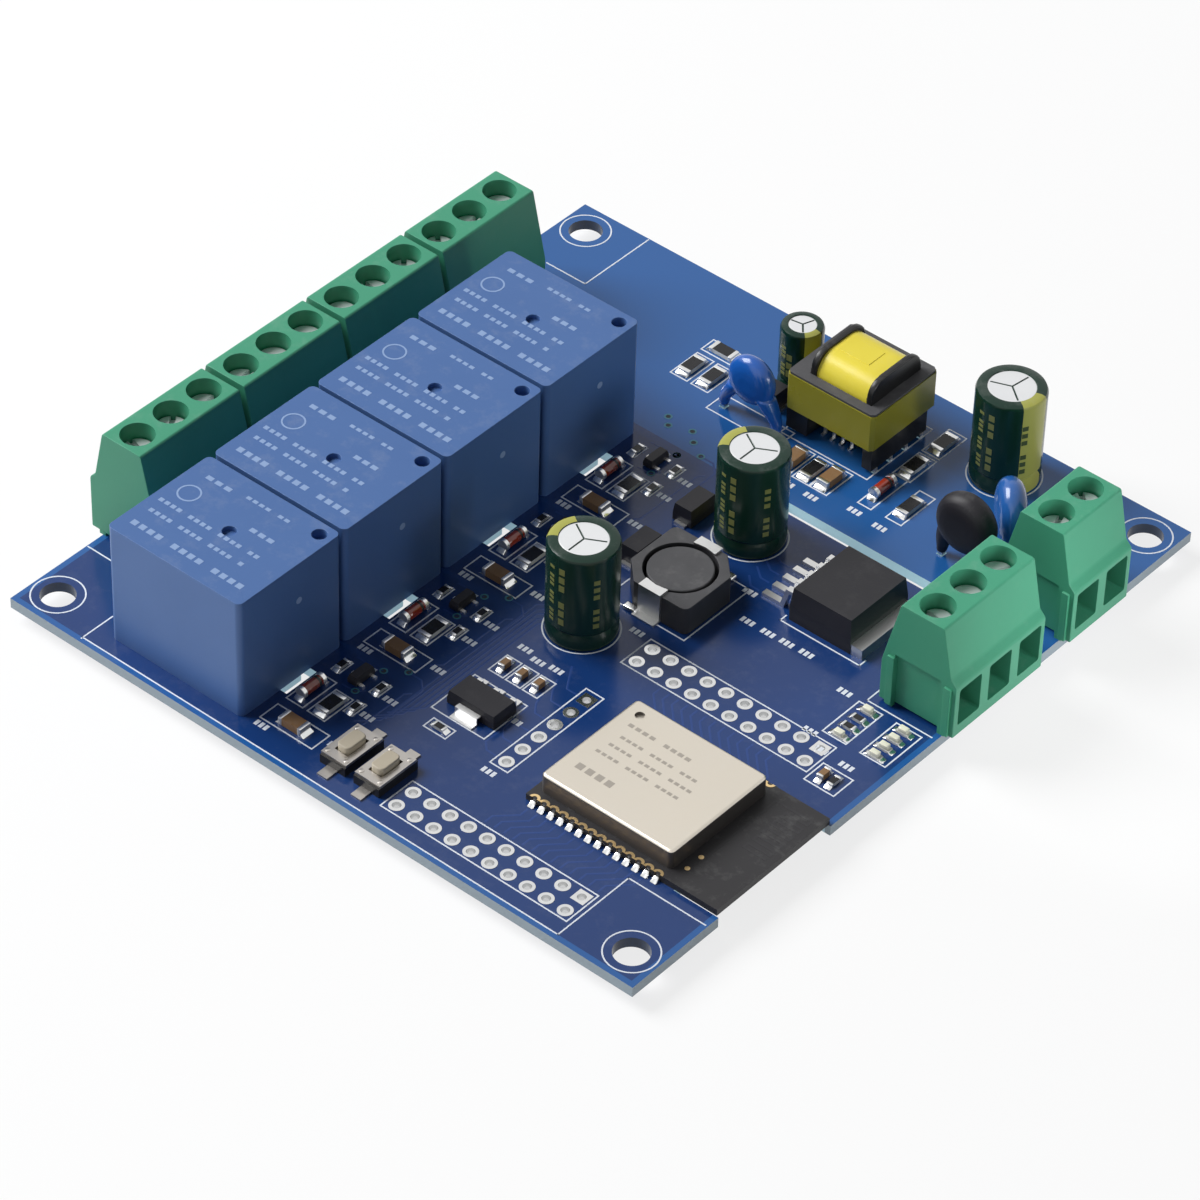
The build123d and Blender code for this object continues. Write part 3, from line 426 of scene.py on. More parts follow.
def close_up():
    """Turn all faces outwards, leave edit mode and return the piece."""
    bpy.ops.mesh.select_all(action="SELECT")
    bpy.ops.mesh.normals_make_consistent(inside=False)
    bpy.ops.object.mode_set(mode="OBJECT")
    return bpy.context.object


def lathe(x, y, profile, sides=48, ring=False):
    """Raise a circle through radius and height steps; a ring joins its last circle to the first."""
    clear()
    radius, z = profile[0]
    bpy.ops.mesh.primitive_circle_add(vertices=sides, radius=radius * MM, location=(x * MM, y * MM, z * MM))
    bpy.ops.object.transform_apply()
    bpy.ops.object.mode_set(mode="EDIT")
    bpy.ops.mesh.select_mode(type="EDGE")
    bpy.ops.mesh.select_all(action="SELECT")
    for next_radius, next_z in profile[1:]:
        bpy.ops.mesh.extrude_region_move(TRANSFORM_OT_translate={"value": (0, 0, (next_z - z) * MM)})
        grow = next_radius / radius
        bpy.ops.transform.resize(value=(grow, grow, 1), center_override=(x * MM, y * MM, next_z * MM))
        radius, z = next_radius, next_z
    bpy.ops.mesh.select_all(action="DESELECT")
    bpy.ops.mesh.select_non_manifold()
    if ring:
        bpy.ops.mesh.bridge_edge_loops()
    else:
        bpy.ops.mesh.fill_holes(sides=0)
    return close_up()


# %% Helpers for repeating and dressing
def spot(x, y, turn=0, z=TOP):
    """A place on the board."""
    return Matrix.Translation(Vector((x, y, z)) * MM) @ Matrix.Rotation(math.radians(turn), 4, "Z")


def stamp(master, place):
    """Copy a master that was modelled at the origin, with its own mesh, to a place."""
    copy = master.copy()
    copy.data = master.data.copy()
    copy.data.transform(place)
    bpy.context.scene.collection.objects.link(copy)
    return copy


def copies(master, places):
    """Stamp a master at every place, join the copies and drop the master."""
    made = [stamp(master, place) for place in places]
    bpy.data.objects.remove(master)
    return join(made)


def paint(piece, material, test=None):
    """Give a piece a material, or only the faces that pass a test."""
    piece.data.materials.append(material)
    if test:
        number = len(piece.data.materials) - 1
        for face in piece.data.polygons:
            if test(face.center / MM, face.normal):
                face.material_index = number
    return piece


def dress(piece, name, body="board_assembly", replaces=(), smooth=35):
    """Name a finished piece, shade it, and say what it rides on and stands for."""
    even(piece, smooth)
    piece.name = name
    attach(piece, body)
    if replaces:
        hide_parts(*replaces)
    return piece


def recolor(names, material):
    """Give CAD nodes a finish without touching their mesh."""
    for name in names:
        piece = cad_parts[name]
        if not piece.data.materials:
            piece.data.materials.append(material)
        for n in range(len(piece.material_slots)):
            piece.material_slots[n].material = material


print("helpers ready")

# %% [markdown]
# The board is a glass fibre laminate under glossy blue solder mask. Where copper lies below the mask it
# looks deep navy, and the bare strip along the edge looks lighter and a little green. The cut sides show
# the pale laminate itself, with a painted glow on every side for the light that comes through it. The walls
# of slots and pin holes are painted bright as painted light, and those of the corner holes dark as painted
# shade. One material can do all of this: the normal tells a side from a face, and the place tells the edge
# strip and the corners.

# %% Finish the board
MASK_DEEP = (0.005, 0.031, 0.135)
MASK_POUR = (0.009, 0.043, 0.18)
MASK_BARE = (0.016, 0.1, 0.32)
LAMINATE = (0.21, 0.26, 0.3)
# painted shade: a dark copy of the laminate for the walls of the corner mounting holes
HOLE_WALL_PAINTED_SHADE = (0.01, 0.025, 0.06)
# painted light: a bright copy of the laminate for the walls of slots and pin holes
SLOT_WALL_PAINTED_LIGHT = (0.5, 0.72, 0.8)
STRIP_X = 42.8
STRIP_Y = 46.1
POUR_END_Y = 20.3
CORNER_Y = 40.8
# strength of a painted glow on all cut sides, standing in for light that comes through the laminate
PAINTED_EDGE_GLOW = 0.22


def beyond(tree, axes, axis, operation, limit):
    """One where a coordinate, or its size, is past a limit in millimetres."""
    value = node(tree, "ShaderNodeMath", operation=operation)
    past = node(tree, "ShaderNodeMath", operation="GREATER_THAN")
    value.inputs[1].default_value = 1
    past.inputs[1].default_value = limit * MM
    link(tree, axes, axis, value, 0)
    link(tree, value, 0, past, 0)
    return past


def either(tree, a, b):
    """One where at least one of two masks is one."""
    made = node(tree, "ShaderNodeMath", operation="MAXIMUM")
    link(tree, a, 0, made, 0)
    link(tree, b, 0, made, 1)
    return made


def board_finish(name, face_color, pour_color, bare_color):
    """Solder mask on the faces, lighter where no copper lies below it, and laminate on the cut sides, with
    painted light: a painted glow on all sides, bright inner walls, and dark painted shade in the corner
    holes.
    """
    made = finish(name, face_color, 0.16, pour_color, bump=0.05, grain_scale=1500.0, mottle=45.0, dusty=0.04)
    tree = made.node_tree
    shader = tree.nodes["Principled BSDF"]
    shader.inputs["Specular IOR Level"].default_value = 0.4
    masked = shader.inputs["Base Color"].links[0].from_node
    place = node(tree, "ShaderNodeTexCoord")
    axes = node(tree, "ShaderNodeSeparateXYZ")
    link(tree, place, "Object", axes, "Vector")
    outer = either(tree, beyond(tree, axes, "X", "ABSOLUTE", STRIP_X),
                   beyond(tree, axes, "Y", "ABSOLUTE", STRIP_Y))
    no_copper = either(tree, outer, beyond(tree, axes, "Y", "MULTIPLY", POUR_END_Y))
    edged = mixed(tree, BLACK, (*bare_color, 1))
    link(tree, no_copper, 0, edged, 0)
    link(tree, masked, 2, edged, 6)
    facing = node(tree, "ShaderNodeNewGeometry")
    normal = node(tree, "ShaderNodeSeparateXYZ")
    flat = node(tree, "ShaderNodeMath", operation="ABSOLUTE")
    side = node(tree, "ShaderNodeMath", operation="LESS_THAN")
    side.inputs[1].default_value = 0.5
    # the corner holes' walls take the painted shade, all other inner walls the painted light
    corner = beyond(tree, axes, "Y", "ABSOLUTE", CORNER_Y)
    inner_walls = mixed(tree, (*SLOT_WALL_PAINTED_LIGHT, 1), (*HOLE_WALL_PAINTED_SHADE, 1))
    link(tree, corner, 0, inner_walls, 0)
    walls = mixed(tree, BLACK, (*LAMINATE, 1))
    link(tree, outer, 0, walls, 0)
    link(tree, inner_walls, 2, walls, 6)
    cut = mixed(tree, BLACK, BLACK)
    link(tree, facing, "Normal", normal, "Vector")
    link(tree, normal, "Z", flat, 0)
    link(tree, flat, 0, side, 0)
    link(tree, side, 0, cut, 0)
    link(tree, edged, 2, cut, 6)
    link(tree, walls, 2, cut, 7)
    link(tree, cut, 2, shader, "Base Color")
    # painted glow: the cut sides emit their own wall colour, as painted light
    through = mixed(tree, BLACK, BLACK)
    link(tree, side, 0, through, 0)
    link(tree, walls, 2, through, 7)
    link(tree, through, 2, shader, "Emission Color")
    shader.inputs["Emission Strength"].default_value = PAINTED_EDGE_GLOW
    return made


MASK = board_finish("blue_solder_mask", MASK_DEEP, MASK_POUR, MASK_BARE)
TRACK = finish("covered_track", (0.016, 0.05, 0.2), 0.16, (0.02, 0.06, 0.23), bump=0.04, dusty=0.03)
recolor(["circuit_board"], MASK)
print("board finished with", MASK.name)

# %% [markdown]
# Printed lines are about 0.17 mm wide and stand a hair proud of the mask. Every frame is a flat plane whose
# middle is inset and removed, and all of them are raised together. Drawing them as geometry keeps their
# edges crisp at any zoom, which a painted mask on Object coordinates would need many nodes for. Short rows
# of dashes mark the parts.

# %% Print the frames and lines
LINE = 0.17
PRINT_T = 0.02
DASHES_IN_ROW = 4
DASH_SHARE = 0.68
# x from and to, y from and to, of each printed frame and line
FRAMES = [
    (7.2, 32.6, -44.2, -39.1), (11.2, 36.6, -11.0, -5.9), (11.2, 13.8, -31.8, -16.4),
    (33.7, 37.0, -5.0, 1.3), (38.7, 42.2, -5.0, 1.3), (1.1, 8.6, -29.6, -22.6), (36.9, 41.0, -12.0, -8.6),
    (13.4, 15.4, 26.2, 33.0), (17.2, 19.5, 26.3, 32.5), (5.3, 7.8, 24.8, 29.6), (13.1, 15.7, 37.9, 43.0),
    (13.1, 15.7, 32.7, 37.6), (7.8, 10.3, 24.8, 29.6), (2.6, 5.0, 24.8, 29.6), (-0.5, 11.9, 29.9, 41.7),
    (-16.3, -13.7, 29.7, 34.6), (-13.3, -10.7, 29.7, 34.6), (-16.4, -11.4, 35.2, 37.6),
    (3.2, 14.1, -3.9, 7.3), (1.6, 3.8, -21.2, -18.0), (4.0, 6.2, -21.2, -18.0), (6.35, 8.55, -21.2, -18.0),
    (2.4, 5.6, -32.3, -30.5), (-9.3, 1.0, 27.6, 30.9),
]
RELAY_PITCH = 15.95
RELAY_YS = [-36.3 + RELAY_PITCH * n for n in range(4)]
for y in RELAY_YS:
    FRAMES += [(-11.1, -8.6, y - 2.4, y + 3.0), (-8.1, -5.5, y - 2.4, y + 2.2)]
    FRAMES += [(-11.1, -3.6, y - 6.4, y - 3.5), (-10.7, -9.4, y + 4.1, y + 6.4)]
    FRAMES += [(-5.3, -3.9, y + 4.1, y + 6.4), (-5.3, -3.9, y + 0.1, y + 2.5)]
LINES = [
    (-33.4, 33.1, -46.1, -46.1), (33.1, 33.1, -46.1, -35.2), (33.1, 43.2, -35.2, -35.2),
    (-33.4, -33.4, -46.3, -41.65), (-43.3, -39.5, -35.25, -35.25), (-33.7, -33.7, 35.45, 46.6),
    (-39.5, -33.7, 35.45, 35.45), (19.5, 30.3, 5.6, 5.6), (19.5, 19.5, 5.6, 6.6), (30.3, 30.3, 5.6, 6.6),
    (34.3, 42.9, 1.9, 1.9), (34.3, 34.3, 1.9, 33.6), (34.3, 42.9, 33.6, 33.6),
]


def flats(z, height, solid=(), framed=()):
    """Thin raised rectangles: solid ones whole, framed ones with their middle inset and removed."""
    open_empty("FACE")
    for rectangles, open_middle in ((framed, True), (solid, False)):
        for x0, x1, y0, y1 in rectangles:
            middle = Vector(((x0 + x1) / 2, (y0 + y1) / 2, z)) * MM
            bpy.ops.mesh.primitive_plane_add(size=MM, location=middle)
            bpy.ops.transform.resize(value=(x1 - x0, y1 - y0, 1), center_override=middle)
        if open_middle and rectangles:
            bpy.ops.mesh.select_all(action="SELECT")
            bpy.ops.mesh.inset(thickness=LINE * MM, use_individual=True)
            bpy.ops.mesh.delete(type="FACE")
    bpy.ops.mesh.select_all(action="SELECT")
    bpy.ops.mesh.extrude_region_move(TRANSFORM_OT_translate={"value": (0, 0, height * MM)})
    return close_up()


def line(x0, x1, y0, y1):
    """A printed line as a thin rectangle."""
    return (x0 - LINE / 2, x1 + LINE / 2, y0 - LINE / 2, y1 + LINE / 2)


def dashes(x0, x1, y, pitch, width):
    """A row of short dashes in groups of four."""
    count = int((x1 - x0) / pitch + 0.01)
    starts = [x0 + n * pitch for n in range(count) if n % (DASHES_IN_ROW + 1) < DASHES_IN_ROW]
    return [(x, x + pitch * DASH_SHARE, y - width / 2, y + width / 2) for x in starts]


LABELS = [
    (14.4, 6.9), (17.2, 3.1), (20.0, 3.1), (22.5, 3.2), (25.1, 3.3), (9.6, -6.1), (9.2, -25.3),
    (2.6, -16.1), (4.9, -16.7), (7.2, -16.4), (12.3, -32.9), (9.2, 23.6), (14.3, 24.9), (18.0, 24.6),
    (33.0, -5.8), (31.9, 1.3), (39.2, -7.5), (35.6, -7.3), (5.9, 23.6), (26.9, 29.6), (21.3, 34.6),
]
RELAY_LABELS = ((-2.0, -4.4), (-9.9, -7.1), (-2.5, 4.6), (-2.6, 1.2), (-7.6, 6.9))
LABELS += [(x, y + up) for y in RELAY_YS for x, up in RELAY_LABELS]
short_marks = [mark for x, y in LABELS for mark in dashes(x - 1.0, x + 1.0, y, 0.64, 0.8)]
frames = flats(TOP, PRINT_T, [line(*ends) for ends in LINES] + short_marks, FRAMES)
BIG_CANS = [(4.6, -9.5), (8.4, 14.0), (22.4, 40.9)]
SMALL_CAN = (-3.75, 37.3)
RINGS = [(x, y, 3.05) for x in (-40.15, 40.15) for y in (-43, 43)]
RINGS += [(x, y, 4.3) for x, y in BIG_CANS] + [(*SMALL_CAN, 2.8)]
rings = []
for x, y, radius in RINGS:
    edge = [(radius, TOP), (radius, TOP + PRINT_T), (radius - LINE, TOP + PRINT_T), (radius - LINE, TOP)]
    rings.append(lathe(x, y, edge, 64, ring=True))
print_lines = paint(join([frames] + rings), PRINT)
dress(print_lines, "board_print")
print("printed", len(FRAMES), "frames and", len(LINES), "lines:", len(print_lines.data.polygons), "faces")

# %% [markdown]
# The four relays are the largest pieces. Each case is a sealed tub of blue plastic: straight walls with
# rounded upright corners, a smaller radius around the top, a shallow dimple and a vent recess. One case is
# modelled around the origin and stamped at the four places, because the real ones come out of one mould
# too.

# %% Model a relay case
def round_cutter(x, y, radius, z0, z1, sides=32):
    """A round bar to cut with."""
    clear()
    bpy.ops.mesh.primitive_cylinder_add(vertices=sides, radius=radius * MM, depth=(z1 - z0) * MM,
                                        location=(x * MM, y * MM, (z0 + z1) / 2 * MM))
    bpy.ops.object.transform_apply()
    return bpy.context.object


RELAY_X = -21.75
RELAY_HALF_X, RELAY_HALF_Y, RELAY_H = 9.45, 7.7, 15.5
case = block((-RELAY_HALF_X, RELAY_HALF_X), (-RELAY_HALF_Y, RELAY_HALF_Y), (0, RELAY_H))
bevel(case, lambda middle, way: abs(way.z) > 0.9, 0.7, 5)
dimple = round_cutter(0.6, 0.2, 0.8, RELAY_H - 0.6, RELAY_H + 0.5)
vent = round_cutter(7.85, 6.1, 0.85, RELAY_H - 1.2, RELAY_H + 0.5)
carve(case, [dimple, vent])
bevel(case, lambda middle, way: middle.z > RELAY_H - 0.1 and abs(way.z) < 0.1, 0.35, 3)
print("relay case:", len(case.data.polygons), "faces")

# %% Mark and place the relays
FAINT = finish("relay_print", (0.27, 0.38, 0.6), 0.5, (0.22, 0.32, 0.54), bump=0.05, dusty=0.0)
PRINT_ROWS = [(-8.0, 8.4, -5.4, 1.15, 0.75), (-8.0, 6.2, -2.8, 0.85, 0.55), (-8.4, 6.5, -0.9, 0.85, 0.55)]
PRINT_ROWS += [(-1.8, 5.2, 5.4, 0.9, 0.45), (2.0, 6.6, 1.9, 1.2, 0.6), (-7.2, -3.2, 5.0, 1.3, 0.6)]
FILM = 0.012
marks = flats(RELAY_H, FILM, [dash for row in PRINT_ROWS for dash in dashes(*row)])
circle = [(1.35, RELAY_H), (1.35, RELAY_H + FILM), (1.15, RELAY_H + FILM), (1.15, RELAY_H)]
marks = join([marks, lathe(-6.7, 1.8, circle, 40, ring=True)])
gate = lathe(0, 0, [(0.42, 0), (0.42, 0.02), (0.3, 0.03)], 24)
on_side = Matrix.Translation(Vector((RELAY_HALF_X, 1.2, 10.5)) * MM)
gate.data.transform(on_side @ Matrix.Rotation(math.radians(90), 4, "Y"))
relay_places = [spot(RELAY_X, y) for y in RELAY_YS]
for n, place in enumerate(relay_places):
    relay = stamp(case, place)
    dress(paint(relay, RELAY), f"relay_case_{n + 1}", replaces=[f"relay_{n + 1}"])
bpy.data.objects.remove(case)
dress(paint(join([copies(marks, relay_places), copies(gate, relay_places)]), FAINT), "relay_marks")
print("relays placed:", len(relay_places))

# %% [markdown]
# The screw terminals take the most care. Seen from above each pole is a round well with a slotted screw at
# its bottom, and on the wire side a square window shows the rising cage. The housing is an extruded
# outline: a cube is not enough, so a flat outline is filled, pushed along the row of poles, and then wells,
# windows, chambers and the slot for the leg are cut from it. Two ribs on one end and four small feet are
# added last.

# %% Model the terminal housing
POLE = 5.08
LEG_U = -1.7
WELL_R = 1.95
WINDOW_HALF = 1.85
CHAMBER_HALF = 2.0
CHAMBER_FLOOR = 1.8
FOOT, FOOT_H = 0.9, 0.45
OUTLINE = [(-4.85, 0.4), (4.95, 0.4), (4.95, 7.3), (4.15, 8.1), (2.85, 14.3), (-2.85, 14.3), (-4.85, 5.72)]


def drawn(points, y0, y1):
    """Fill an outline in the upright plane and push it along y."""
    clear()
    bpy.ops.mesh.primitive_plane_add(size=MM, location=Vector((points[0][0], y0, points[0][1])) * MM)
    bpy.ops.object.transform_apply()
    bpy.ops.object.mode_set(mode="EDIT")
    bpy.ops.mesh.select_mode(type="VERT")
    bpy.ops.mesh.merge(type="CENTER")
    for (x0, z0), (x1, z1) in zip(points, points[1:]):
        bpy.ops.mesh.extrude_region_move(TRANSFORM_OT_translate={"value": ((x1 - x0) * MM, 0,
                                                                           (z1 - z0) * MM)})
    bpy.ops.mesh.select_all(action="SELECT")
    bpy.ops.mesh.edge_face_add()
    bpy.ops.mesh.extrude_region_move(TRANSFORM_OT_translate={"value": (0, (y1 - y0) * MM, 0)})
    return close_up()


def pole_places(poles):
    """Middles of the poles along a row, from its own middle."""
    return [(n - (poles - 1) / 2) * POLE for n in range(poles)]


def terminal(poles):
    """A housing with its wells, windows and hollow ends, wires entering on the +X side."""
    end = poles * POLE / 2
    body = drawn(OUTLINE, -end, end)
    bevel(body, lambda middle, way: abs(way.y) > 0.9 and middle.z > 7, 0.25, 3)
    soften(body, 0.12, 2)
    cutters = []
    for v in pole_places(poles):
        well = round_cutter(0, v, WELL_R, 8.5, 15, 40)
        chamber = block((-CHAMBER_HALF, CHAMBER_HALF), (v - CHAMBER_HALF, v + CHAMBER_HALF),
                        (CHAMBER_FLOOR, 9.0))
        window = block((1.0, 5.5), (v - WINDOW_HALF, v + WINDOW_HALF), (CHAMBER_FLOOR, 6.7))
        bevel(window, lambda middle, way: abs(way.x) > 0.9, 0.3, 3)
        leg_slot = block((LEG_U - 0.5, LEG_U + 0.5), (v - 1.1, v + 1.1), (0.2, 2.4))
        cutters += [well, chamber, window, leg_slot]
    cutters.append(block((-3.1, 2.9), (-end - 1, -end + 0.5), (0.2, 7.3)))
    carve(body, cutters)
    ribs = [block((u, u + 0.9), (-end - 0.3, -end + 0.3), (0.4, 6.9)) for u in (-3.95, 3.5)]
    feet = []
    for u in (-3.55, 3.35):
        for side in (-1, 1):
            y = sorted((side * end, side * (end - 0.5)))
            feet.append(block((u - FOOT / 2, u + FOOT / 2), y, (0, FOOT_H)))
    return join([body, soften(join(ribs), 0.08, 2)] + feet)


three_poles = terminal(3)
two_poles = terminal(2)
print("housings:", len(three_poles.data.polygons), "and", len(two_poles.data.polygons), "faces")

# %% Place the housings
# x, y, turn and number of poles of each block
TERMINALS = [(-40.2, y, 180, 3) for y in (-25.13, -9.18, 6.77, 22.72)]
TERMINALS += [(39.9, 10.45, 0, 3), (39.9, 28.1, 0, 2)]
three_places = [spot(x, y, turn) for x, y, turn, poles in TERMINALS if poles == 3]
two_places = [spot(x, y, turn) for x, y, turn, poles in TERMINALS if poles == 2]
housings = join([copies(three_poles, three_places), copies(two_poles, two_places)])
paint(housings, GREEN)
dress(housings, "terminal_blocks", replaces=["terminal_housings"], smooth=30)
recolor(["terminal_clamps"], CAGE_ZINC)
recolor(["terminal_pins"], TIN)
print("six housings:", len(housings.data.polygons), "faces")

# %% Model one screw
HEAD = [(1.05, 6.3), (1.05, 11.1), (1.62, 11.1), (1.8, 11.3), (1.8, 12.15), (1.72, 12.32), (1.5, 12.4)]
SLOT_HALF = 0.3
screw = lathe(0, 0, HEAD, 40)
carve(screw, [block((-SLOT_HALF, SLOT_HALF), (-3, 3), (11.7, 13))])
bevel(screw, lambda middle, way: middle.z > 12.38 and abs(abs(middle.x) - SLOT_HALF) < 0.02, 0.06, 2)
print("screw:", len(screw.data.polygons), "faces")

# %% Put a screw in every well
SLOT_TURN = 37
number = 0
for x, y, turn, poles in TERMINALS:
    for v in pole_places(poles):
        place = spot(x, y, turn) @ Matrix.Translation(Vector((0, v, 0)) * MM)
        place = place @ Matrix.Rotation(math.radians(SLOT_TURN * number), 4, "Z")
        number += 1
        name = f"terminal_screw_{number:02d}"
        dress(paint(stamp(screw, place), SCREW_ZINC), f"round_{name}", name, [name])
bpy.data.objects.remove(screw)
print("screws:", number)

# %% [markdown]
# Round cans come from a circle that is raised step by step: the sleeve leaves the board, is crimped into a
# groove near its foot, and rolls over the rim, where the bare aluminium disc begins. The sleeve's stripe
# marks the negative side, so the faces on that side take a second finish.

# %% Model the round capacitors
SLEEVE = finish("sleeve_green", (0.006, 0.032, 0.02), 0.2, (0.005, 0.024, 0.015), bump=0.05, mottle=60.0)
STRIPE = finish("sleeve_stripe", (0.4, 0.4, 0.085), 0.3, (0.34, 0.34, 0.07), bump=0.05)
ALUMINIUM = finish("aluminium", (0.78, 0.79, 0.8), 0.34, (0.66, 0.67, 0.68), metal=1.0, bump=0.1,
                   mottle=300.0)
SLEEVE_PRINT = finish("sleeve_print", (0.05, 0.075, 0.02), 0.3, bump=0.05)
SLEEVE_DASHES = finish("sleeve_dashes", (0.19, 0.2, 0.06), 0.3, bump=0.05)
BIG_LID, SMALL_LID = 0.69, 0.66
FIRST_DASH_Z = 3.2
# angle round the can, height of a dash and pitch of each row
DASH_RUNS = ((-28, 0.6, 1.0), (-84, 0.8, 1.15), (-104, 0.35, 0.6))
# x, y, radius, height, angle of the stripe and half its width in degrees
CANS = [(*BIG_CANS[0], 4.0, 12.5, 180, 36), (*BIG_CANS[1], 4.0, 12.5, 180, 36)]
CANS += [(*BIG_CANS[2], 4.0, 12.5, -8, 27), (*SMALL_CAN, 2.5, 9.2, -20, 26)]


def heading(degrees):
    """The level direction at an angle round the can."""
    return Vector((math.cos(math.radians(degrees)), math.sin(math.radians(degrees)), 0))


def can(radius, height, disc, stripe_turn, half):
    """One capacitor at the origin: a sleeve with groove and stripe, and a disc with a three-arm vent."""
    groove = 2.0
    wall = [(radius - 0.35, 0.05), (radius - 0.05, 0.12), (radius, 0.4), (radius, groove - 0.5)]
    wall += [(radius - 0.28, groove - 0.1), (radius - 0.28, groove + 0.1), (radius, groove + 0.5),
             (radius, height - 0.5)]
    wall += [(radius - 0.15, height - 0.15), (radius - 0.55, height), (disc, height),
             (disc - 0.12, height - 0.18)]
    sleeve = lathe(0, 0, wall, 64)
    paint(sleeve, SLEEVE)
    facing = heading(stripe_turn)
    span = math.cos(math.radians(half))
    paint(sleeve, STRIPE, lambda middle, normal: middle.z < height + 0.01 and middle.xy.length > disc + 0.02
          and middle.xy.normalized().dot(facing.xy) > span)
    lid_steps = [(disc - 0.05, height - 0.4), (disc - 0.05, height - 0.12), (disc - 0.15, height - 0.08)]
    lid = lathe(0, 0, lid_steps, 64)
    arms = []
    for n in range(3):
        arm = block((0, disc * 0.9), (-0.11, 0.11), (height - 0.2, height + 0.1))
        arm.data.transform(Matrix.Rotation(math.radians(90 + 120 * n + stripe_turn), 4, "Z"))
        arms.append(arm)
    paint(carve(lid, arms), ALUMINIUM)
    pieces = [sleeve, lid]
    for turn, tall, pitch in DASH_RUNS:
        rows = []
        for n in range(int((height - 4.4) / pitch)):
            if n % 4 < 3:
                z = FIRST_DASH_Z + n * pitch
                dash = block((radius - 0.3, radius + 0.015), (-0.35, 0.35), (z, z + tall))
                dash.data.transform(Matrix.Rotation(math.radians(turn), 4, "Z"))
                rows.append(dash)
        on_stripe = facing.dot(heading(turn)) > span
        pieces.append(paint(join(rows), SLEEVE_PRINT if on_stripe else SLEEVE_DASHES))
    return join(pieces)


cans = []
for x, y, radius, height, stripe_turn, half in CANS:
    lid_radius = radius * (BIG_LID if radius > 3 else SMALL_LID)
    cans.append(copies(can(radius, height, lid_radius, stripe_turn, half), [spot(x, y)]))
dress(join(cans), "sleeved_capacitors", replaces=["capacitors"])
print("capacitors:", len(cans))

# %% [markdown]
# A coated disc is thicker in the middle than at its rim, so its profile is turned on a lathe, lying flat,
# and then set upright. The coating wets the wires and runs down them: each skirt is a circle that is raised
# and widened step by step. Remeshing melts disc and skirts into one skin, and smoothing rounds the joints
# as wet coating would.

# %% Model the coated discs
SAFETY_BLUE = finish("safety_blue", (0.01, 0.1, 0.42), 0.22, (0.008, 0.08, 0.36), bump=0.15,
                     grain_scale=900.0, mottle=120.0, Coat_Weight=0.4)
VARISTOR_BLUE = finish("varistor_blue", (0.02, 0.12, 0.4), 0.2, (0.017, 0.1, 0.36), bump=0.15,
                       grain_scale=900.0, mottle=120.0, Coat_Weight=0.5)
THERMISTOR_DARK = finish("thermistor_dark", (0.007, 0.006, 0.009), 0.5, (0.011, 0.01, 0.014), bump=0.25,
                         grain_scale=1400.0, mottle=200.0)
SAFETY_AT, SAFETY_PITCH = (-4.2, 29.25), 7.5
VARISTOR_AT, VARISTOR_PITCH = (30.1, 31.5), 5.0
THERMISTOR_AT, THERMISTOR_PITCH = (28.5, 25.75), 6.0
SKIRT_FOOT = 0.6
VOXEL = 0.09


def skirt(steps):
    """Coating drawn down a wire: a circle raised through steps of x, radius and height."""
    clear()
    x, radius, z = steps[0]
    bpy.ops.mesh.primitive_circle_add(vertices=24, radius=radius * MM, fill_type="NGON",
                                      location=(x * MM, 0, z * MM))
    bpy.ops.object.transform_apply()
    bpy.ops.object.mode_set(mode="EDIT")
    bpy.ops.mesh.select_mode(type="FACE")
    bpy.ops.mesh.select_all(action="SELECT")
    for next_x, next_radius, next_z in steps[1:]:
        step = ((next_x - x) * MM, 0, (next_z - z) * MM)
        bpy.ops.mesh.extrude_region_move(TRANSFORM_OT_translate={"value": step})
        grow = next_radius / radius
        bpy.ops.transform.resize(value=(grow, grow, 1), center_override=(next_x * MM, 0, next_z * MM))
        x, radius, z = next_x, next_radius, next_z
    return close_up()


def disc(radius, thick, bottom, pitch, place, material, name, slot, flatness):
    """A coated disc, turned flat and set upright, with two skirts that run down its wires."""
    outs = (0.3, 0.55, 0.72, 0.84, 0.92, 0.97, 0.99)
    upper = [(radius * out, thick / 2 * (1 - out ** flatness) ** 0.5) for out in outs]
    lower = [(r, -half) for r, half in upper]
    piece = lathe(0, 0, lower + [(radius, 0)] + upper[::-1], 64)
    raised = Matrix.Translation(Vector((0, 0, bottom + radius)) * MM)
    piece.data.transform(raised @ Matrix.Rotation(math.radians(90), 4, "X"))
    inward = min(pitch / 2, radius * 0.6)
    shoulder = bottom + radius * 0.55
    skirts = []
    rise = shoulder - SKIRT_FOOT
    for side in (-1, 1):
        wire, inner = side * pitch / 2, side * inward
        steps = [(wire, 0.42, 0.42), (wire, 0.58, SKIRT_FOOT),
                 (wire - side * 0.1, 0.72, SKIRT_FOOT + rise * 0.25)]
        steps += [((wire * 2 + inner) / 3, 0.95, SKIRT_FOOT + rise * 0.5)]
        steps += [((wire + inner * 2) / 3, 1.15, SKIRT_FOOT + rise * 0.75), (inner, 1.25, shoulder)]
        skirts.append(skirt(steps))
    piece = join([piece] + skirts)
    modify(piece, "REMESH", mode="VOXEL", voxel_size=VOXEL * MM)
    modify(piece, "SMOOTH", iterations=14, factor=0.6)
    piece.data.transform(place)
    return dress(paint(piece, material), "coated_" + name, replaces=[name], smooth=60)


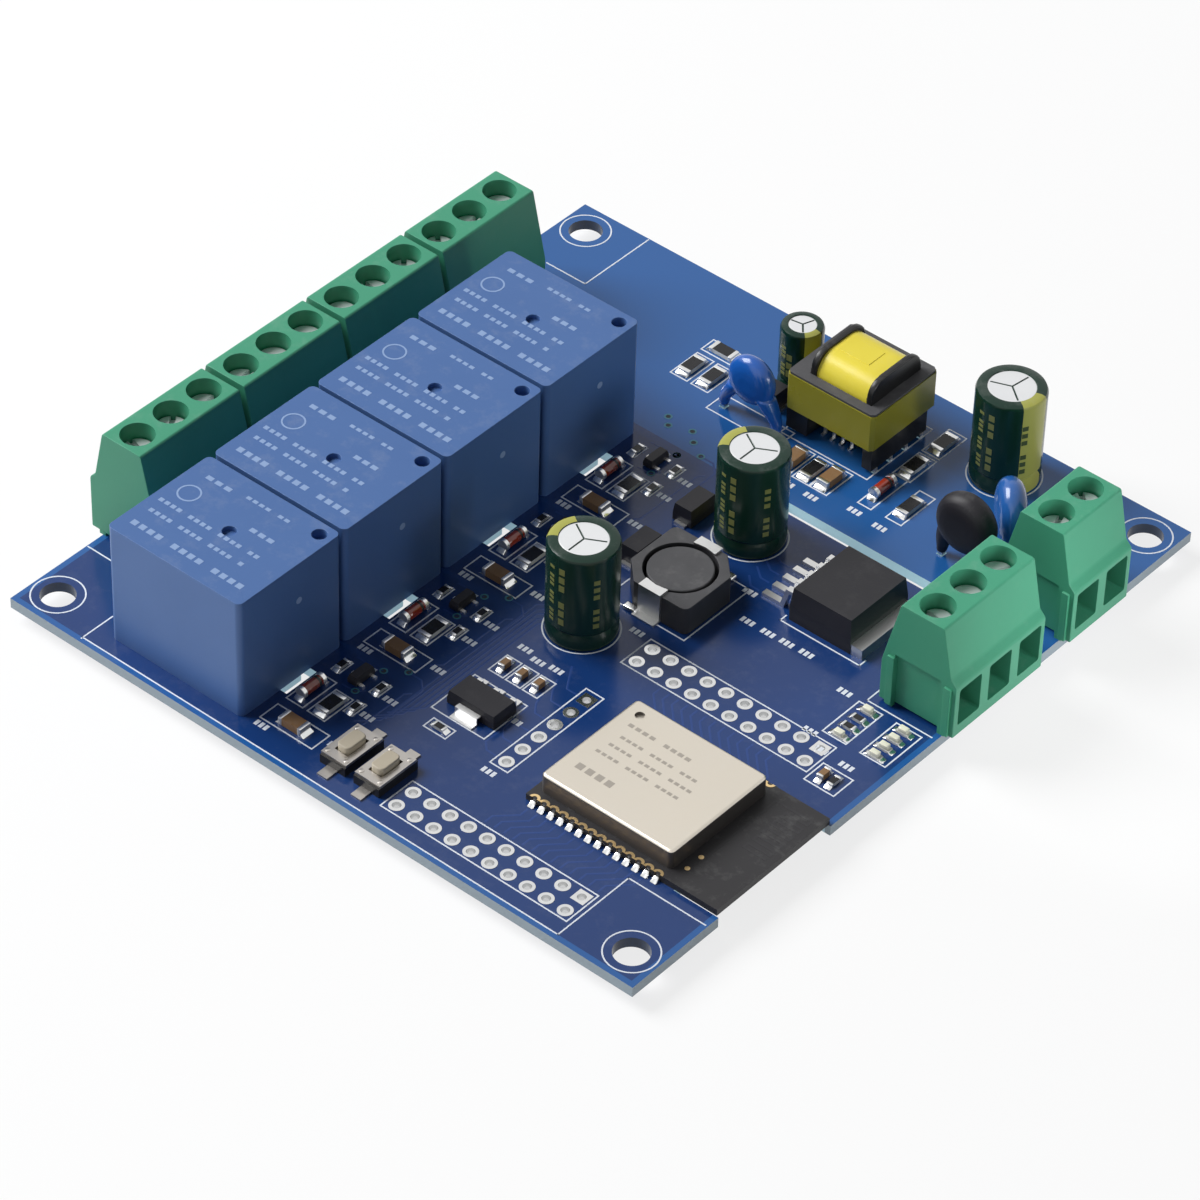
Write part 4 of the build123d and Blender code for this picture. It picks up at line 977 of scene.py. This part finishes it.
safety_place = spot(*SAFETY_AT)
varistor_place = spot(*VARISTOR_AT, 135)
thermistor_place = spot(*THERMISTOR_AT)
disc(3.1, 2.9, 2.67, SAFETY_PITCH, safety_place, SAFETY_BLUE, "safety_capacitor", "coating_blue", 3.0)
disc(3.7, 3.3, 1.5, VARISTOR_PITCH, varistor_place, VARISTOR_BLUE, "varistor", "coating_light_blue", 4.0)
disc(3.75, 3.3, 2.25, THERMISTOR_PITCH, thermistor_place, THERMISTOR_DARK, "thermistor", "coating_black", 5.0)
recolor(["component_leads"], TIN)
print("coated discs: 3")

# %% [markdown]
# Some pieces are already right as they were drawn: the transformer's ferrite core with its tape, the black
# bobbin, the clips of the power coil, and the packages and leads of the chips. They keep their mesh and
# only need a finish.

# %% Finish the pieces that keep their shape
TAPE = finish("yellow_tape", (0.3, 0.27, 0.018), 0.28, (0.24, 0.21, 0.014), bump=0.1, grain_scale=700.0,
              mottle=90.0)
WINDING = finish("winding_tape", (0.8, 0.68, 0.07), 0.3, (0.7, 0.57, 0.05), bump=0.2, grain_scale=1200.0,
                 mottle=160.0)
recolor(["transformer_core"], FERRITE)
recolor(["transformer_bobbin"], BOBBIN)
recolor(["transformer_tape"], TAPE)
recolor(["choke_clips"], TIN)
recolor(["regulator_body", "chip_packages"], EPOXY)
recolor(["regulator_leads", "chip_leads", "relay_pins"], TIN)
print("finishes so far:", len(bpy.data.materials))

# %% [markdown]
# Chip parts are bricks with plated ends. One brick makes the body, two short ones that are a few hundredths
# larger and rounded make its ends, and a resistor's top carries a dark layer of glass. Solder wedges hold
# the ends on their pads.

# %% Model the chip parts
CERAMIC = finish("ceramic_white", (0.6, 0.6, 0.58), 0.4, bump=0.1, mottle=500.0)
GLASS_TOP = finish("resistor_glass", (0.012, 0.012, 0.014), 0.25, bump=0.1, mottle=500.0, dusty=0.03)
BROWN = finish("capacitor_ceramic", (0.26, 0.15, 0.07), 0.35, (0.22, 0.125, 0.06), bump=0.1, mottle=500.0)
PLATING = 0.03
WIDE, SMALL = (3.2, 1.6, 0.6), (1.6, 0.8, 0.45)


def chip(length, width, height, cap, body_finish, top_finish=None):
    """A chip part at the origin with plated ends."""
    half_x, half_y = length / 2 - cap * 0.8, width / 2 - PLATING
    body = block((-half_x, half_x), (-half_y, half_y), (PLATING, height - PLATING))
    paint(body, body_finish)
    if top_finish:
        paint(body, top_finish, lambda middle, normal: normal.z > 0.5)
    ends = []
    for side in (-1, 1):
        x = sorted((side * length / 2, side * (length / 2 - cap)))
        ends.append(soften(block(x, (-width / 2, width / 2), (0.0, height)), 0.06, 2))
    paint(join(ends), TIN)
    return join([body, ends[0]])


def relay_rows(spots):
    """Repeat a list of places beside every relay."""
    return [spot(x, y + up, turn) for y in RELAY_YS for x, up, turn in spots]


wide_spots = [(14.4, 40.4, 90), (14.4, 35.1, 90), (18.3, 29.3, 90), (6.5, 27.1, 90)]
wide_spots += [(-15, 32.1, 90), (-12, 32.1, 90), (-13.9, 36.4, 0)]
wide_places = [spot(*place) for place in wide_spots] + relay_rows([(-6.7, -0.1, 90)])
small_spots = [(4.0, -31.4, 0), (39.65, -10.3, 90), (35.55, -1.15, 0), (35.55, -2.75, 0)]
small_places = [spot(*place) for place in small_spots]
small_places += relay_rows([(-10.05, 5.25, 90), (-4.55, 5.25, 90), (-4.55, 1.3, 90)])
cap_places = [spot(9.0, 27.1, 90), spot(3.8, 27.1, 90)] + relay_rows([(-7.35, -5.0, 0)])
small_cap_places = [spot(x, -19.6, 90) for x in (2.7, 5.1, 7.45)] + [spot(38.3, -10.3, 90)]
resistors = join([copies(chip(*WIDE, 0.5, CERAMIC, GLASS_TOP), wide_places),
                  copies(chip(*SMALL, 0.3, CERAMIC, GLASS_TOP), small_places)])
dress(resistors, "plated_resistors", replaces=["chip_resistors"])
capacitors = join([copies(chip(*WIDE[:2], 1.0, 0.5, BROWN), cap_places),
                   copies(chip(*SMALL[:2], 0.8, 0.3, BROWN), small_cap_places)])
dress(capacitors, "plated_capacitors", replaces=["chip_capacitors"])
print("chip parts:", len(wide_places) + len(small_places) + len(cap_places) + len(small_cap_places))

# %% Solder the chip parts down
WET_SHARE = 0.62


def fillets(length, width, height):
    """Two solder wedges at the ends of a chip part, on their pads."""
    made = []
    top = height * WET_SHARE
    for side in (-1, 1):
        x = sorted((side * (length / 2 - 0.25), side * (length / 2 + 0.5)))
        pad = block(x, (-width / 2 - 0.05, width / 2 + 0.05), (0, top))
        pick(pad, "FACE", lambda middle, normal: normal.z > 0.9)
        centre = (side * (length / 2 - 0.1) * MM, 0, top * MM)
        bpy.ops.transform.resize(value=(0.25, 0.85, 1), center_override=centre)
        bpy.ops.object.mode_set(mode="OBJECT")
        made.append(soften(pad, 0.07, 3))
    return join(made)


solder = [copies(fillets(*WIDE), wide_places + cap_places),
          copies(fillets(*SMALL), small_places + small_cap_places)]
print("solder pieces so far:", len(solder))

# %% [markdown]
# Indicator lamps have a clear lens on a pale base. The glass diodes are red tubes that are turned on a
# lathe, with a plated cap at each end and a dark band beside one of them. They are turned upright and then
# laid down.

# %% Model lamps and diodes
LENS = finish("lamp_lens", (0.75, 0.74, 0.62), 0.12, (0.8, 0.78, 0.6), bump=0.05, dusty=0.0, Coat_Weight=0.5)
DIODE_RED = finish("diode_glass", (0.36, 0.035, 0.015), 0.1, (0.3, 0.03, 0.012), bump=0.05, dusty=0.0,
                   Coat_Weight=0.6)
DIODE_BAND = finish("diode_band", (0.02, 0.02, 0.022), 0.3, bump=0.05)
lamp = soften(block((-0.55, 0.55), (-0.35, 0.35), (0.25, 0.8)), 0.08, 3)
foot = block((-0.8, 0.8), (-0.4, 0.4), (0, 0.28))
paint(lamp, LENS)
paint(foot, CERAMIC)
paint(foot, TIN, lambda middle, normal: abs(normal.x) > 0.5)
lamp_places = [spot(35.55, 0.45), spot(35.55, -4.35)] + [spot(40.3, y) for y in (0.45, -1.15, -2.75, -4.35)]
dress(copies(join([lamp, foot]), lamp_places), "lamp_lenses", replaces=["indicator_lamps"])
tube = lathe(0, 0, [(0.55, -1.3), (0.64, -1.1), (0.66, -0.6), (0.66, 0.6), (0.64, 1.1), (0.55, 1.3)], 32)
band = lathe(0, 0, [(0.665, 0.62), (0.665, 0.95), (0.6, 0.95), (0.6, 0.62)], 32, ring=True)
caps = [lathe(0, 0, [(0.6, z), (0.7, z + 0.06), (0.7, z + 0.5), (0.6, z + 0.56)], 32) for z in (-1.75, 1.19)]
paint(tube, DIODE_RED)
paint(band, DIODE_BAND)
caps = paint(join(caps), TIN)
diode = join([tube, band, caps])
diode.data.transform(Matrix.Translation(Vector((0, 0, 0.7)) * MM) @ Matrix.Rotation(math.radians(90), 4, "Y"))
diode_places = [spot(14.3, 29.6, 90)] + relay_rows([(-9.85, 0.3, 90)])
dress(copies(diode, diode_places), "banded_diodes", replaces=["glass_diodes"])
solder.append(copies(fillets(3.5, 1.1, 0.7), diode_places))
solder.append(copies(fillets(1.6, 0.8, 0.3), lamp_places))
print("lamps:", len(lamp_places), "glass diodes:", len(diode_places))

# %% [markdown]
# The wireless board stands on the main board: black mask, a pressed shield can, plated half holes along
# both long sides and a folded antenna track at its free end. The can's edges are rolled, so a bevel of a
# third of a millimetre is cut around its top. A half hole is a whole plated ring, cut in two by bisecting
# it.

# %% Model the wireless board and its can
MODULE_MASK = finish("black_mask", (0.02, 0.019, 0.021), 0.4, (0.028, 0.027, 0.029), bump=0.08, mottle=80.0)
CAN = finish("can_nickel", (0.66, 0.61, 0.53), 0.36, (0.6, 0.55, 0.47), metal=0.9, bump=0.12, mottle=140.0)
ANTENNA = finish("antenna_track", (0.03, 0.029, 0.032), 0.38, bump=0.05)
recolor(["module_board"], MODULE_MASK)
MODULE_TOP = TOP + 0.8
CAN_TOP = TOP + 3.2
can_shell = block((18.45, 36.05), (-32.1, -16.7), (MODULE_TOP, CAN_TOP))
bevel(can_shell, lambda middle, way: abs(way.z) > 0.9, 0.6, 4)
bevel(can_shell, lambda middle, way: middle.z > CAN_TOP - 0.1 and abs(way.z) < 0.1, 0.35, 4)
carve(can_shell, [round_cutter(20.35, -18.6, 0.55, CAN_TOP - 0.4, CAN_TOP + 0.8)])
CAN_ROWS = [(20.4, 29.0, -20.4, 0.95, 0.5), (21.0, 31.6, -22.4, 0.8, 0.4), (20.8, 32.6, -24.0, 0.8, 0.4)]
CAN_ROWS += [(20.4, 31.8, -25.6, 0.8, 0.4), (20.4, 27.6, -28.6, 1.3, 0.9)]
faint = flats(CAN_TOP, FILM, [dash for row in CAN_ROWS for dash in dashes(*row)])
paint(faint, finish("can_mark", (0.42, 0.38, 0.33), 0.5, bump=0.05, dusty=0.0))
paint(can_shell, CAN)
# painted shade: the can's upright sides take a darker, duller copy of its nickel
CAN_SIDE_PAINTED_SHADE = finish("can_side_painted_shade", (0.1, 0.09, 0.085), 0.4, metal=0.5)
paint(can_shell, CAN_SIDE_PAINTED_SHADE, lambda middle, normal: abs(normal.z) < 0.4)
dress(join([can_shell, faint]), "rolled_can", replaces=["shield_can"])
print("shield can:", len(can_shell.data.polygons), "faces")

# %% Plate the half holes and solder them
HALF_HOLE_R, HALF_HOLE_PITCH, HALF_HOLES = 0.42, 1.27, 14
FIRST_HALF_HOLE_X = 18.85
MODULE_FRONT_Y, MODULE_BACK_Y = -33.4, -15.4


def half_hole_places(out):
    """Places along both long sides of the wireless board, some way out from its edges."""
    xs = [FIRST_HALF_HOLE_X + HALF_HOLE_PITCH * i for i in range(HALF_HOLES)]
    return [spot(x, MODULE_FRONT_Y - out) for x in xs] + [spot(x, MODULE_BACK_Y + out, 180) for x in xs]


pad_r, bore_r = HALF_HOLE_R + 0.22, HALF_HOLE_R - 0.1
ring = [(HALF_HOLE_R, 0), (HALF_HOLE_R, 0.82), (pad_r, 0.82), (pad_r, 0.84), (bore_r, 0.84), (bore_r, 0)]
notch = lathe(0, 0, ring, 24, ring=True)
pick(notch, "FACE", lambda middle, normal: True)
bpy.ops.mesh.bisect(plane_co=(0, 0, 0), plane_no=(0, 1, 0), clear_outer=False, clear_inner=True)
bpy.ops.object.mode_set(mode="OBJECT")
pads = paint(copies(notch, half_hole_places(0)), GOLD)
TEST_DOTS = ((37.1, -28.6), (37.1, -30.8))
dots = [lathe(x, y, [(0.3, MODULE_TOP), (0.3, MODULE_TOP + 0.02)], 24) for x, y in TEST_DOTS]
dress(join([pads, paint(join(dots), GOLD)]), "half_holes")
wedge = block((-0.44, 0.44), (-0.5, 0.42), (0, 0.55))
pick(wedge, "FACE", lambda middle, normal: normal.z > 0.9)
bpy.ops.transform.resize(value=(0.7, 0.35, 1), center_override=(0, 0.42 * MM, 0.55 * MM))
bpy.ops.object.mode_set(mode="OBJECT")
soften(wedge, 0.12, 3)
solder.append(copies(wedge, half_hole_places(0.35)))
print("half holes:", 2 * HALF_HOLES)

# %% Fold the antenna track
FOLD = 1.5
FOLD_W = 0.3
FOLDS = 5
FEED_X, START_Y = 37.3, -16.9
NEAR_X, FAR_X = (39.2, 39.2 + FOLD_W), (42.3 - FOLD_W, 42.3)
tracks = [(FEED_X, FEED_X + FOLD_W, -29.0, START_Y - FOLD_W), (FEED_X, FAR_X[1], START_Y - FOLD_W, START_Y)]
for n in range(FOLDS):
    y = START_Y - FOLD * n
    half = y - FOLD / 2
    tracks += [(*FAR_X, half, y - FOLD_W), (NEAR_X[0], FAR_X[1], half - FOLD_W, half)]
    tracks += [(*NEAR_X, y - FOLD, half - FOLD_W), (NEAR_X[0], FAR_X[1], y - FOLD - FOLD_W, y - FOLD)]
dress(paint(flats(MODULE_TOP, FILM, tracks), ANTENNA), "antenna")
print("antenna pieces:", len(tracks))

# %% [markdown]
# Holes in the board are plated. A ring around each hole joins a flat pad on both faces to the tube through
# it, and one such ring is stamped at all the header holes. The first pin of a row gets a square pad.

# %% Plate the header holes
def plated(radius, hole, sides=32):
    """A pad on both faces with a tube through the board."""
    below, above = -TOP - 0.03, 0.035
    profile = [(hole, below), (radius, below), (radius, -TOP), (hole + 0.02, -TOP)]
    profile += [(hole + 0.02, 0), (radius, 0), (radius, above), (hole, above)]
    return lathe(0, 0, profile, sides, ring=True)


PITCH = 2.54
PAD_R = 0.86
TILE_T = 0.034
ROWS = 10
header = []
for first_x, first_y in ((8.52, -43.0), (12.47, -9.71)):
    header += [(first_x + PITCH * i, first_y + PITCH * m) for i in range(ROWS) for m in range(2)]
header += [(12.54, -30.55 + PITCH * n) for n in range(6)]
rings = copies(plated(PAD_R, 0.5), [spot(x, y) for x, y in header])
squares = []
for x, y in ((31.38, -40.46), (35.33, -7.17), (12.54, -17.85)):
    for z in ((TOP, TOP + TILE_T), (-TILE_T, 0)):
        tile = block((x - PAD_R, x + PAD_R), (y - PAD_R, y + PAD_R), z)
        squares.append(carve(tile, [round_cutter(x, y, 0.52, -1, 3)]))
dress(paint(join([rings] + squares), SOLDER), "header_pads")
print("plated holes:", len(header))

# %% [markdown]
# A via is a much smaller plated hole that takes a track to the other face. The mask runs over its ring, so
# it shows as a pale circle with a dark dot. A thin ring is enough, with a thin dark disc inside as painted
# shade where the hole is.

# %% Add the vias
VIA_RING = finish("via_ring", (0.06, 0.22, 0.3), 0.25, bump=0.05, dusty=0.0)
VIA_HOLE_PAINTED_SHADE = finish("via_hole_painted_shade", (0.004, 0.008, 0.012), 0.5, bump=0.05, dusty=0.0)
vias = [(-11.33, 23.64), (-10.34, 22.47), (-7.65, 23.44), (-6.34, 22.05), (-6.32, 19.16)]
vias += [(x, y + up) for y in RELAY_YS for x, up in ((-6.3, 7.6), (-4.2, 9.2), (-6.4, 3.3))]
ring = paint(lathe(0, 0, [(0.29, 0.005), (0.48, 0.005), (0.48, 0.02), (0.29, 0.02)], 24, ring=True), VIA_RING)
# painted shade: a dark disc laid where the via's hole is
hole = paint(lathe(0, 0, [(0.3, 0.004), (0.3, 0.009)], 24), VIA_HOLE_PAINTED_SHADE)
dress(copies(join([ring, hole]), [spot(x, y) for x, y in vias]), "vias")
print("vias:", len(vias))

# %% [markdown]
# The winding sits between two flanges. Tape under tension makes it a barrel, so the block of tape gets wide
# bevels and the flanges get rounded edges. A thin patch on top is where the tape laps over itself. The
# flanges here are a hair larger than the plain ones, which they cover.

# %% Round the winding and its flanges
CORE_MID_Y = 35.7
FLANGES_X = ((2.21, 2.91), (9.99, 10.69))
WINDING_TOP = TOP + 11.4
WINDING_HALF_Y = 4.19
FLANGE_HALF_Y = 4.37
FLANGE_COVER = 0.03
winding = block((2.95, 9.95), (CORE_MID_Y - WINDING_HALF_Y, CORE_MID_Y + WINDING_HALF_Y),
                (TOP + 2.2, WINDING_TOP))
bevel(winding, lambda middle, way: abs(way.x) > 0.9, 2.6, 8)
overlap = block((3.4, 7.9), (CORE_MID_Y - 1.5, CORE_MID_Y + 1.4), (WINDING_TOP - 0.05, WINDING_TOP + 0.07))
bevel(overlap, lambda middle, way: middle.z > WINDING_TOP + 0.06, 0.05, 2)
dress(paint(join([winding, overlap]), WINDING), "taped_winding",
      replaces=["transformer_winding"])
flanges = []
flange_y = (CORE_MID_Y - FLANGE_HALF_Y, CORE_MID_Y + FLANGE_HALF_Y)
for x0, x1 in FLANGES_X:
    flange = block((x0 - FLANGE_COVER, x1 + FLANGE_COVER), flange_y, (TOP + 1.87, TOP + 11.68))
    bevel(flange, lambda middle, way: abs(way.x) > 0.9, 1.95, 6)
    bevel(flange, lambda middle, way: abs(way.x) < 0.4, 0.2, 3)
    flanges.append(flange)
dress(paint(join(flanges), BOBBIN), "rounded_flanges")
print("flanges rounded:", len(FLANGES_X))

# %% [markdown]
# The power coil is a ferrite drum in a ferrite shield. From above only the drum's round end and the gap
# around it are seen, with enamelled wire deep in the gap. The CAD drum has flat sides, so a round one is
# turned in its place.

# %% Turn the power coil
FERRITE_SIDE = finish("ferrite_side", (0.02, 0.021, 0.024), 0.45, (0.035, 0.034, 0.037), bump=0.35,
                      grain_scale=2600.0, mottle=500.0)
ENAMEL = finish("enamelled_wire", (0.25, 0.09, 0.03), 0.3, (0.2, 0.07, 0.02), bump=0.1)
CHOKE_PLACE = spot(8.75, 1.75)
TURN_Z = (1.4, 1.66, 1.92, 2.18)
shield = block((-4.95, 4.95), (-5, 5), (0, 3.6))
bevel(shield, lambda middle, way: abs(way.z) > 0.9 and middle.x * middle.y > 0, 2.6, 1)
bevel(shield, lambda middle, way: abs(way.z) > 0.9 and middle.x * middle.y < -20, 0.8, 3)
carve(shield, [round_cutter(0, 0, 4.1, 0.8, 5, 64)])
soften(shield, 0.12, 2)
paint(shield, FERRITE)
paint(shield, FERRITE_SIDE, lambda middle, normal: abs(normal.z) < 0.5)
shield.data.transform(CHOKE_PLACE)
dress(shield, "round_shield", replaces=["choke_shield"])
DRUM = [(3.6, 0.8), (3.6, 1.3), (2.2, 1.35), (2.2, 2.5), (3.6, 2.55), (3.65, 2.65), (3.65, 3.42), (3.55, 3.5)]
drum = lathe(0, 0, DRUM, 64)
coils = [lathe(0, 0, [(2.2, z), (3.4, z + 0.06), (3.4, z + 0.18), (2.2, z + 0.24)], 48) for z in TURN_Z]
paint(drum, FERRITE)
paint(join(coils), ENAMEL)
drum = join([drum, coils[0]])
drum.data.transform(CHOKE_PLACE)
dress(drum, "turned_drum", replaces=["choke_drum"])
LUGS = ((10.9, 7.25), (6.6, -3.75))
lugs = [block((x - 0.9, x + 0.9), (y - 0.5, y + 0.5), (TOP, TOP + 0.5)) for x, y in LUGS]
solder.append(soften(join(lugs), 0.2, 3))
print("power coil:", len(coils), "turns of wire and", len(LUGS), "soldered clips")

# %% [markdown]
# The two push buttons are the only pieces that are pressed by hand, so each key rides on its own body. A
# key is an oblong of cream plastic with round ends and a soft rim. The steel plate around it is riveted at
# four corners.

# %% Model the keys and the plates
KEY = finish("key_cream", (0.5, 0.44, 0.34), 0.36, (0.45, 0.4, 0.31), bump=0.06)
STEEL = finish("switch_steel", (0.5, 0.47, 0.44), 0.3, (0.42, 0.4, 0.37), metal=1.0, bump=0.1, mottle=500.0)
recolor(["switch_bases"], BOBBIN)
recolor(["switch_covers"], STEEL)
BASE_H, COVER_T, KEY_H = 1.1, 0.35, 1.15
BUTTON_XS, BUTTON_Y = (0.0, 4.7), -40.45
KEY_TOP = BASE_H + KEY_H
KEY_FOOT = BASE_H - 0.3
COVER_TOP = BASE_H + COVER_T
for n, x in enumerate(BUTTON_XS):
    key = block((-0.87, 0.87), (-1.55, 1.55), (KEY_FOOT, KEY_TOP))
    bevel(key, lambda middle, way: abs(way.z) > 0.9, 0.6, 5)
    bevel(key, lambda middle, way: middle.z > KEY_TOP - 0.01 and abs(way.z) < 0.1, 0.16, 3)
    rim = block((-1.17, 1.17), (-1.54, 1.54), (KEY_FOOT, BASE_H - 0.03))
    key = join([key, rim])
    key.data.transform(spot(x, BUTTON_Y))
    dress(paint(key, KEY), f"rounded_key_{n + 1}", f"push_button_{n + 1}",
          [f"push_button_{n + 1}"])
rivet = lathe(0, 0, [(0.28, COVER_TOP), (0.27, COVER_TOP + 0.06), (0.12, COVER_TOP + 0.1)], 20)
spots = [spot(x + dx, BUTTON_Y + dy) for x in BUTTON_XS for dx in (-1.3, 1.3) for dy in (-2.25, 2.25)]
dress(paint(copies(rivet, spots), STEEL), "rivets")
solder.append(copies(fillets(6.6, 1.3, 0.25), [spot(x, BUTTON_Y, 90) for x in BUTTON_XS]))
print("keys:", len(BUTTON_XS), "rivets:", len(spots))

# %% [markdown]
# Copper tracks show as slightly raised, slightly lighter lines under the mask. Each is a chain of points
# that turns at 45 degrees. The chains become curves, get a thickness, turn back into mesh and are pressed
# flat.

# %% Lay the tracks
TRACK_W = 0.26
TRACK_FLATNESS = 0.16


def chains(paths, width):
    """Flat tracks along paths of points on the board."""
    open_empty("VERT")
    for path in paths:
        bpy.ops.mesh.primitive_plane_add(size=MM, location=(path[0][0] * MM, path[0][1] * MM, TOP * MM))
        bpy.ops.mesh.merge(type="CENTER")
        for (x0, y0), (x1, y1) in zip(path, path[1:]):
            step = ((x1 - x0) * MM, (y1 - y0) * MM, 0)
            bpy.ops.mesh.extrude_region_move(TRANSFORM_OT_translate={"value": step})
    bpy.ops.object.mode_set(mode="OBJECT")
    bpy.ops.object.convert(target="CURVE")
    curve = bpy.context.object.data
    curve.bevel_depth = width / 2 * MM
    curve.bevel_resolution = 0
    bpy.ops.object.convert(target="MESH")
    bpy.ops.object.mode_set(mode="EDIT")
    bpy.ops.mesh.select_all(action="SELECT")
    bpy.ops.transform.resize(value=(1, 1, TRACK_FLATNESS), center_override=(0, 0, TOP * MM))
    return close_up()


paths = []
for i in range(HALF_HOLES - 1):
    x = FIRST_HALF_HOLE_X + HALF_HOLE_PITCH * i
    paths.append([(x, -34.4), (x, -35.6), (x - 2.0, -37.6), (x - 2.0, -38.8)])
    paths.append([(x, -15.0), (x, -14.2), (x - 1.8, -12.4), (x - 1.8, -11.3)])
for n in range(6):
    y = -30.55 + PITCH * n
    paths.append([(11.6, y), (9.8, y), (8.9, y + 0.9 + 0.1 * n), (8.9 - 0.2 * n, y + 3)])
for y in RELAY_YS:
    paths.append([(-4.2, y + 9.2), (-2.4, y + 9.2), (-1.2, y + 8.0), (-1.2, y + 2.2)])
    paths.append([(-8.2, y + 3.2), (-6.4, y + 3.3), (-5.6, y + 4.1)])
    paths.append([(-9.9, y + 7.4), (-6.9, y + 7.4), (-6.3, y + 7.6)])
    paths.append([(-3.3, y - 4.4), (-2.3, y - 3.4), (-2.3, y + 6.4), (-1.7, y + 7.0)])
for n in range(5):
    x, y = -1.4 + 0.55 * n, -32.5 + 1.1 * n
    paths.append([(x - 2, y - 4), (x, y - 2), (x, -10 - 0.55 * n), (x + 1.2, -8.8 - 0.55 * n)])
for n in range(4):
    paths.append([(14.8, 7.8 + 1.7 * n), (13.6, 7.8 + 1.7 * n), (12.4 - 0.3 * n, 9.0 + 1.7 * n)])
dress(paint(chains(paths, TRACK_W), TRACK), "tracks", smooth=20)
print("tracks:", len(paths))

# %% [markdown]
# Every wire and pin that passes through the board ends in a small cone of solder on the underside. The cone
# is turned once, hollowed towards its tip as wet solder is, and copied to all the places.

# %% Solder the pins below the board
CONE = [(0.95, 0.0), (0.9, -0.06), (0.62, -0.35), (0.48, -0.8), (0.44, -1.2), (0.25, -1.35)]
RELAY_PINS = ((7.1, 0), (5.1, -6), (5.1, 6), (-7.1, -6), (-7.1, 6))
VARISTOR_STEP = 1.77
TRANSFORMER_PIN_XS, TRANSFORMER_STEP = (0.3, 11.45), 1.35
cone = lathe(0, 0, CONE, 20)
pins = []
for x, y, turn, poles in TERMINALS:
    leg = LEG_U if turn == 0 else -LEG_U
    pins += [(x + leg, y + v) for v in pole_places(poles)]
pins += [(RELAY_X + along, y + up) for y in RELAY_YS for along, up in RELAY_PINS]
wired = [(x, y, 1.75) for x, y in BIG_CANS] + [(*SMALL_CAN, 1.0)]
wired += [(*SAFETY_AT, SAFETY_PITCH / 2), (*THERMISTOR_AT, THERMISTOR_PITCH / 2)]
pins += [(x + side * half, y) for x, y, half in wired for side in (-1, 1)]
pins += [(VARISTOR_AT[0] - side * VARISTOR_STEP, VARISTOR_AT[1] + side * VARISTOR_STEP) for side in (-1, 1)]
pins += [(x, CORE_MID_Y + step * TRANSFORMER_STEP) for x in TRANSFORMER_PIN_XS for step in (-3, -1, 1, 3)]
solder.append(copies(cone, [spot(x, y, 0, 0) for x, y in pins]))
print("pins soldered:", len(pins))

# %% Join the solder
dress(paint(join(solder), SOLDER), "solder_joints", smooth=60)
print("solder pieces joined:", len(solder))
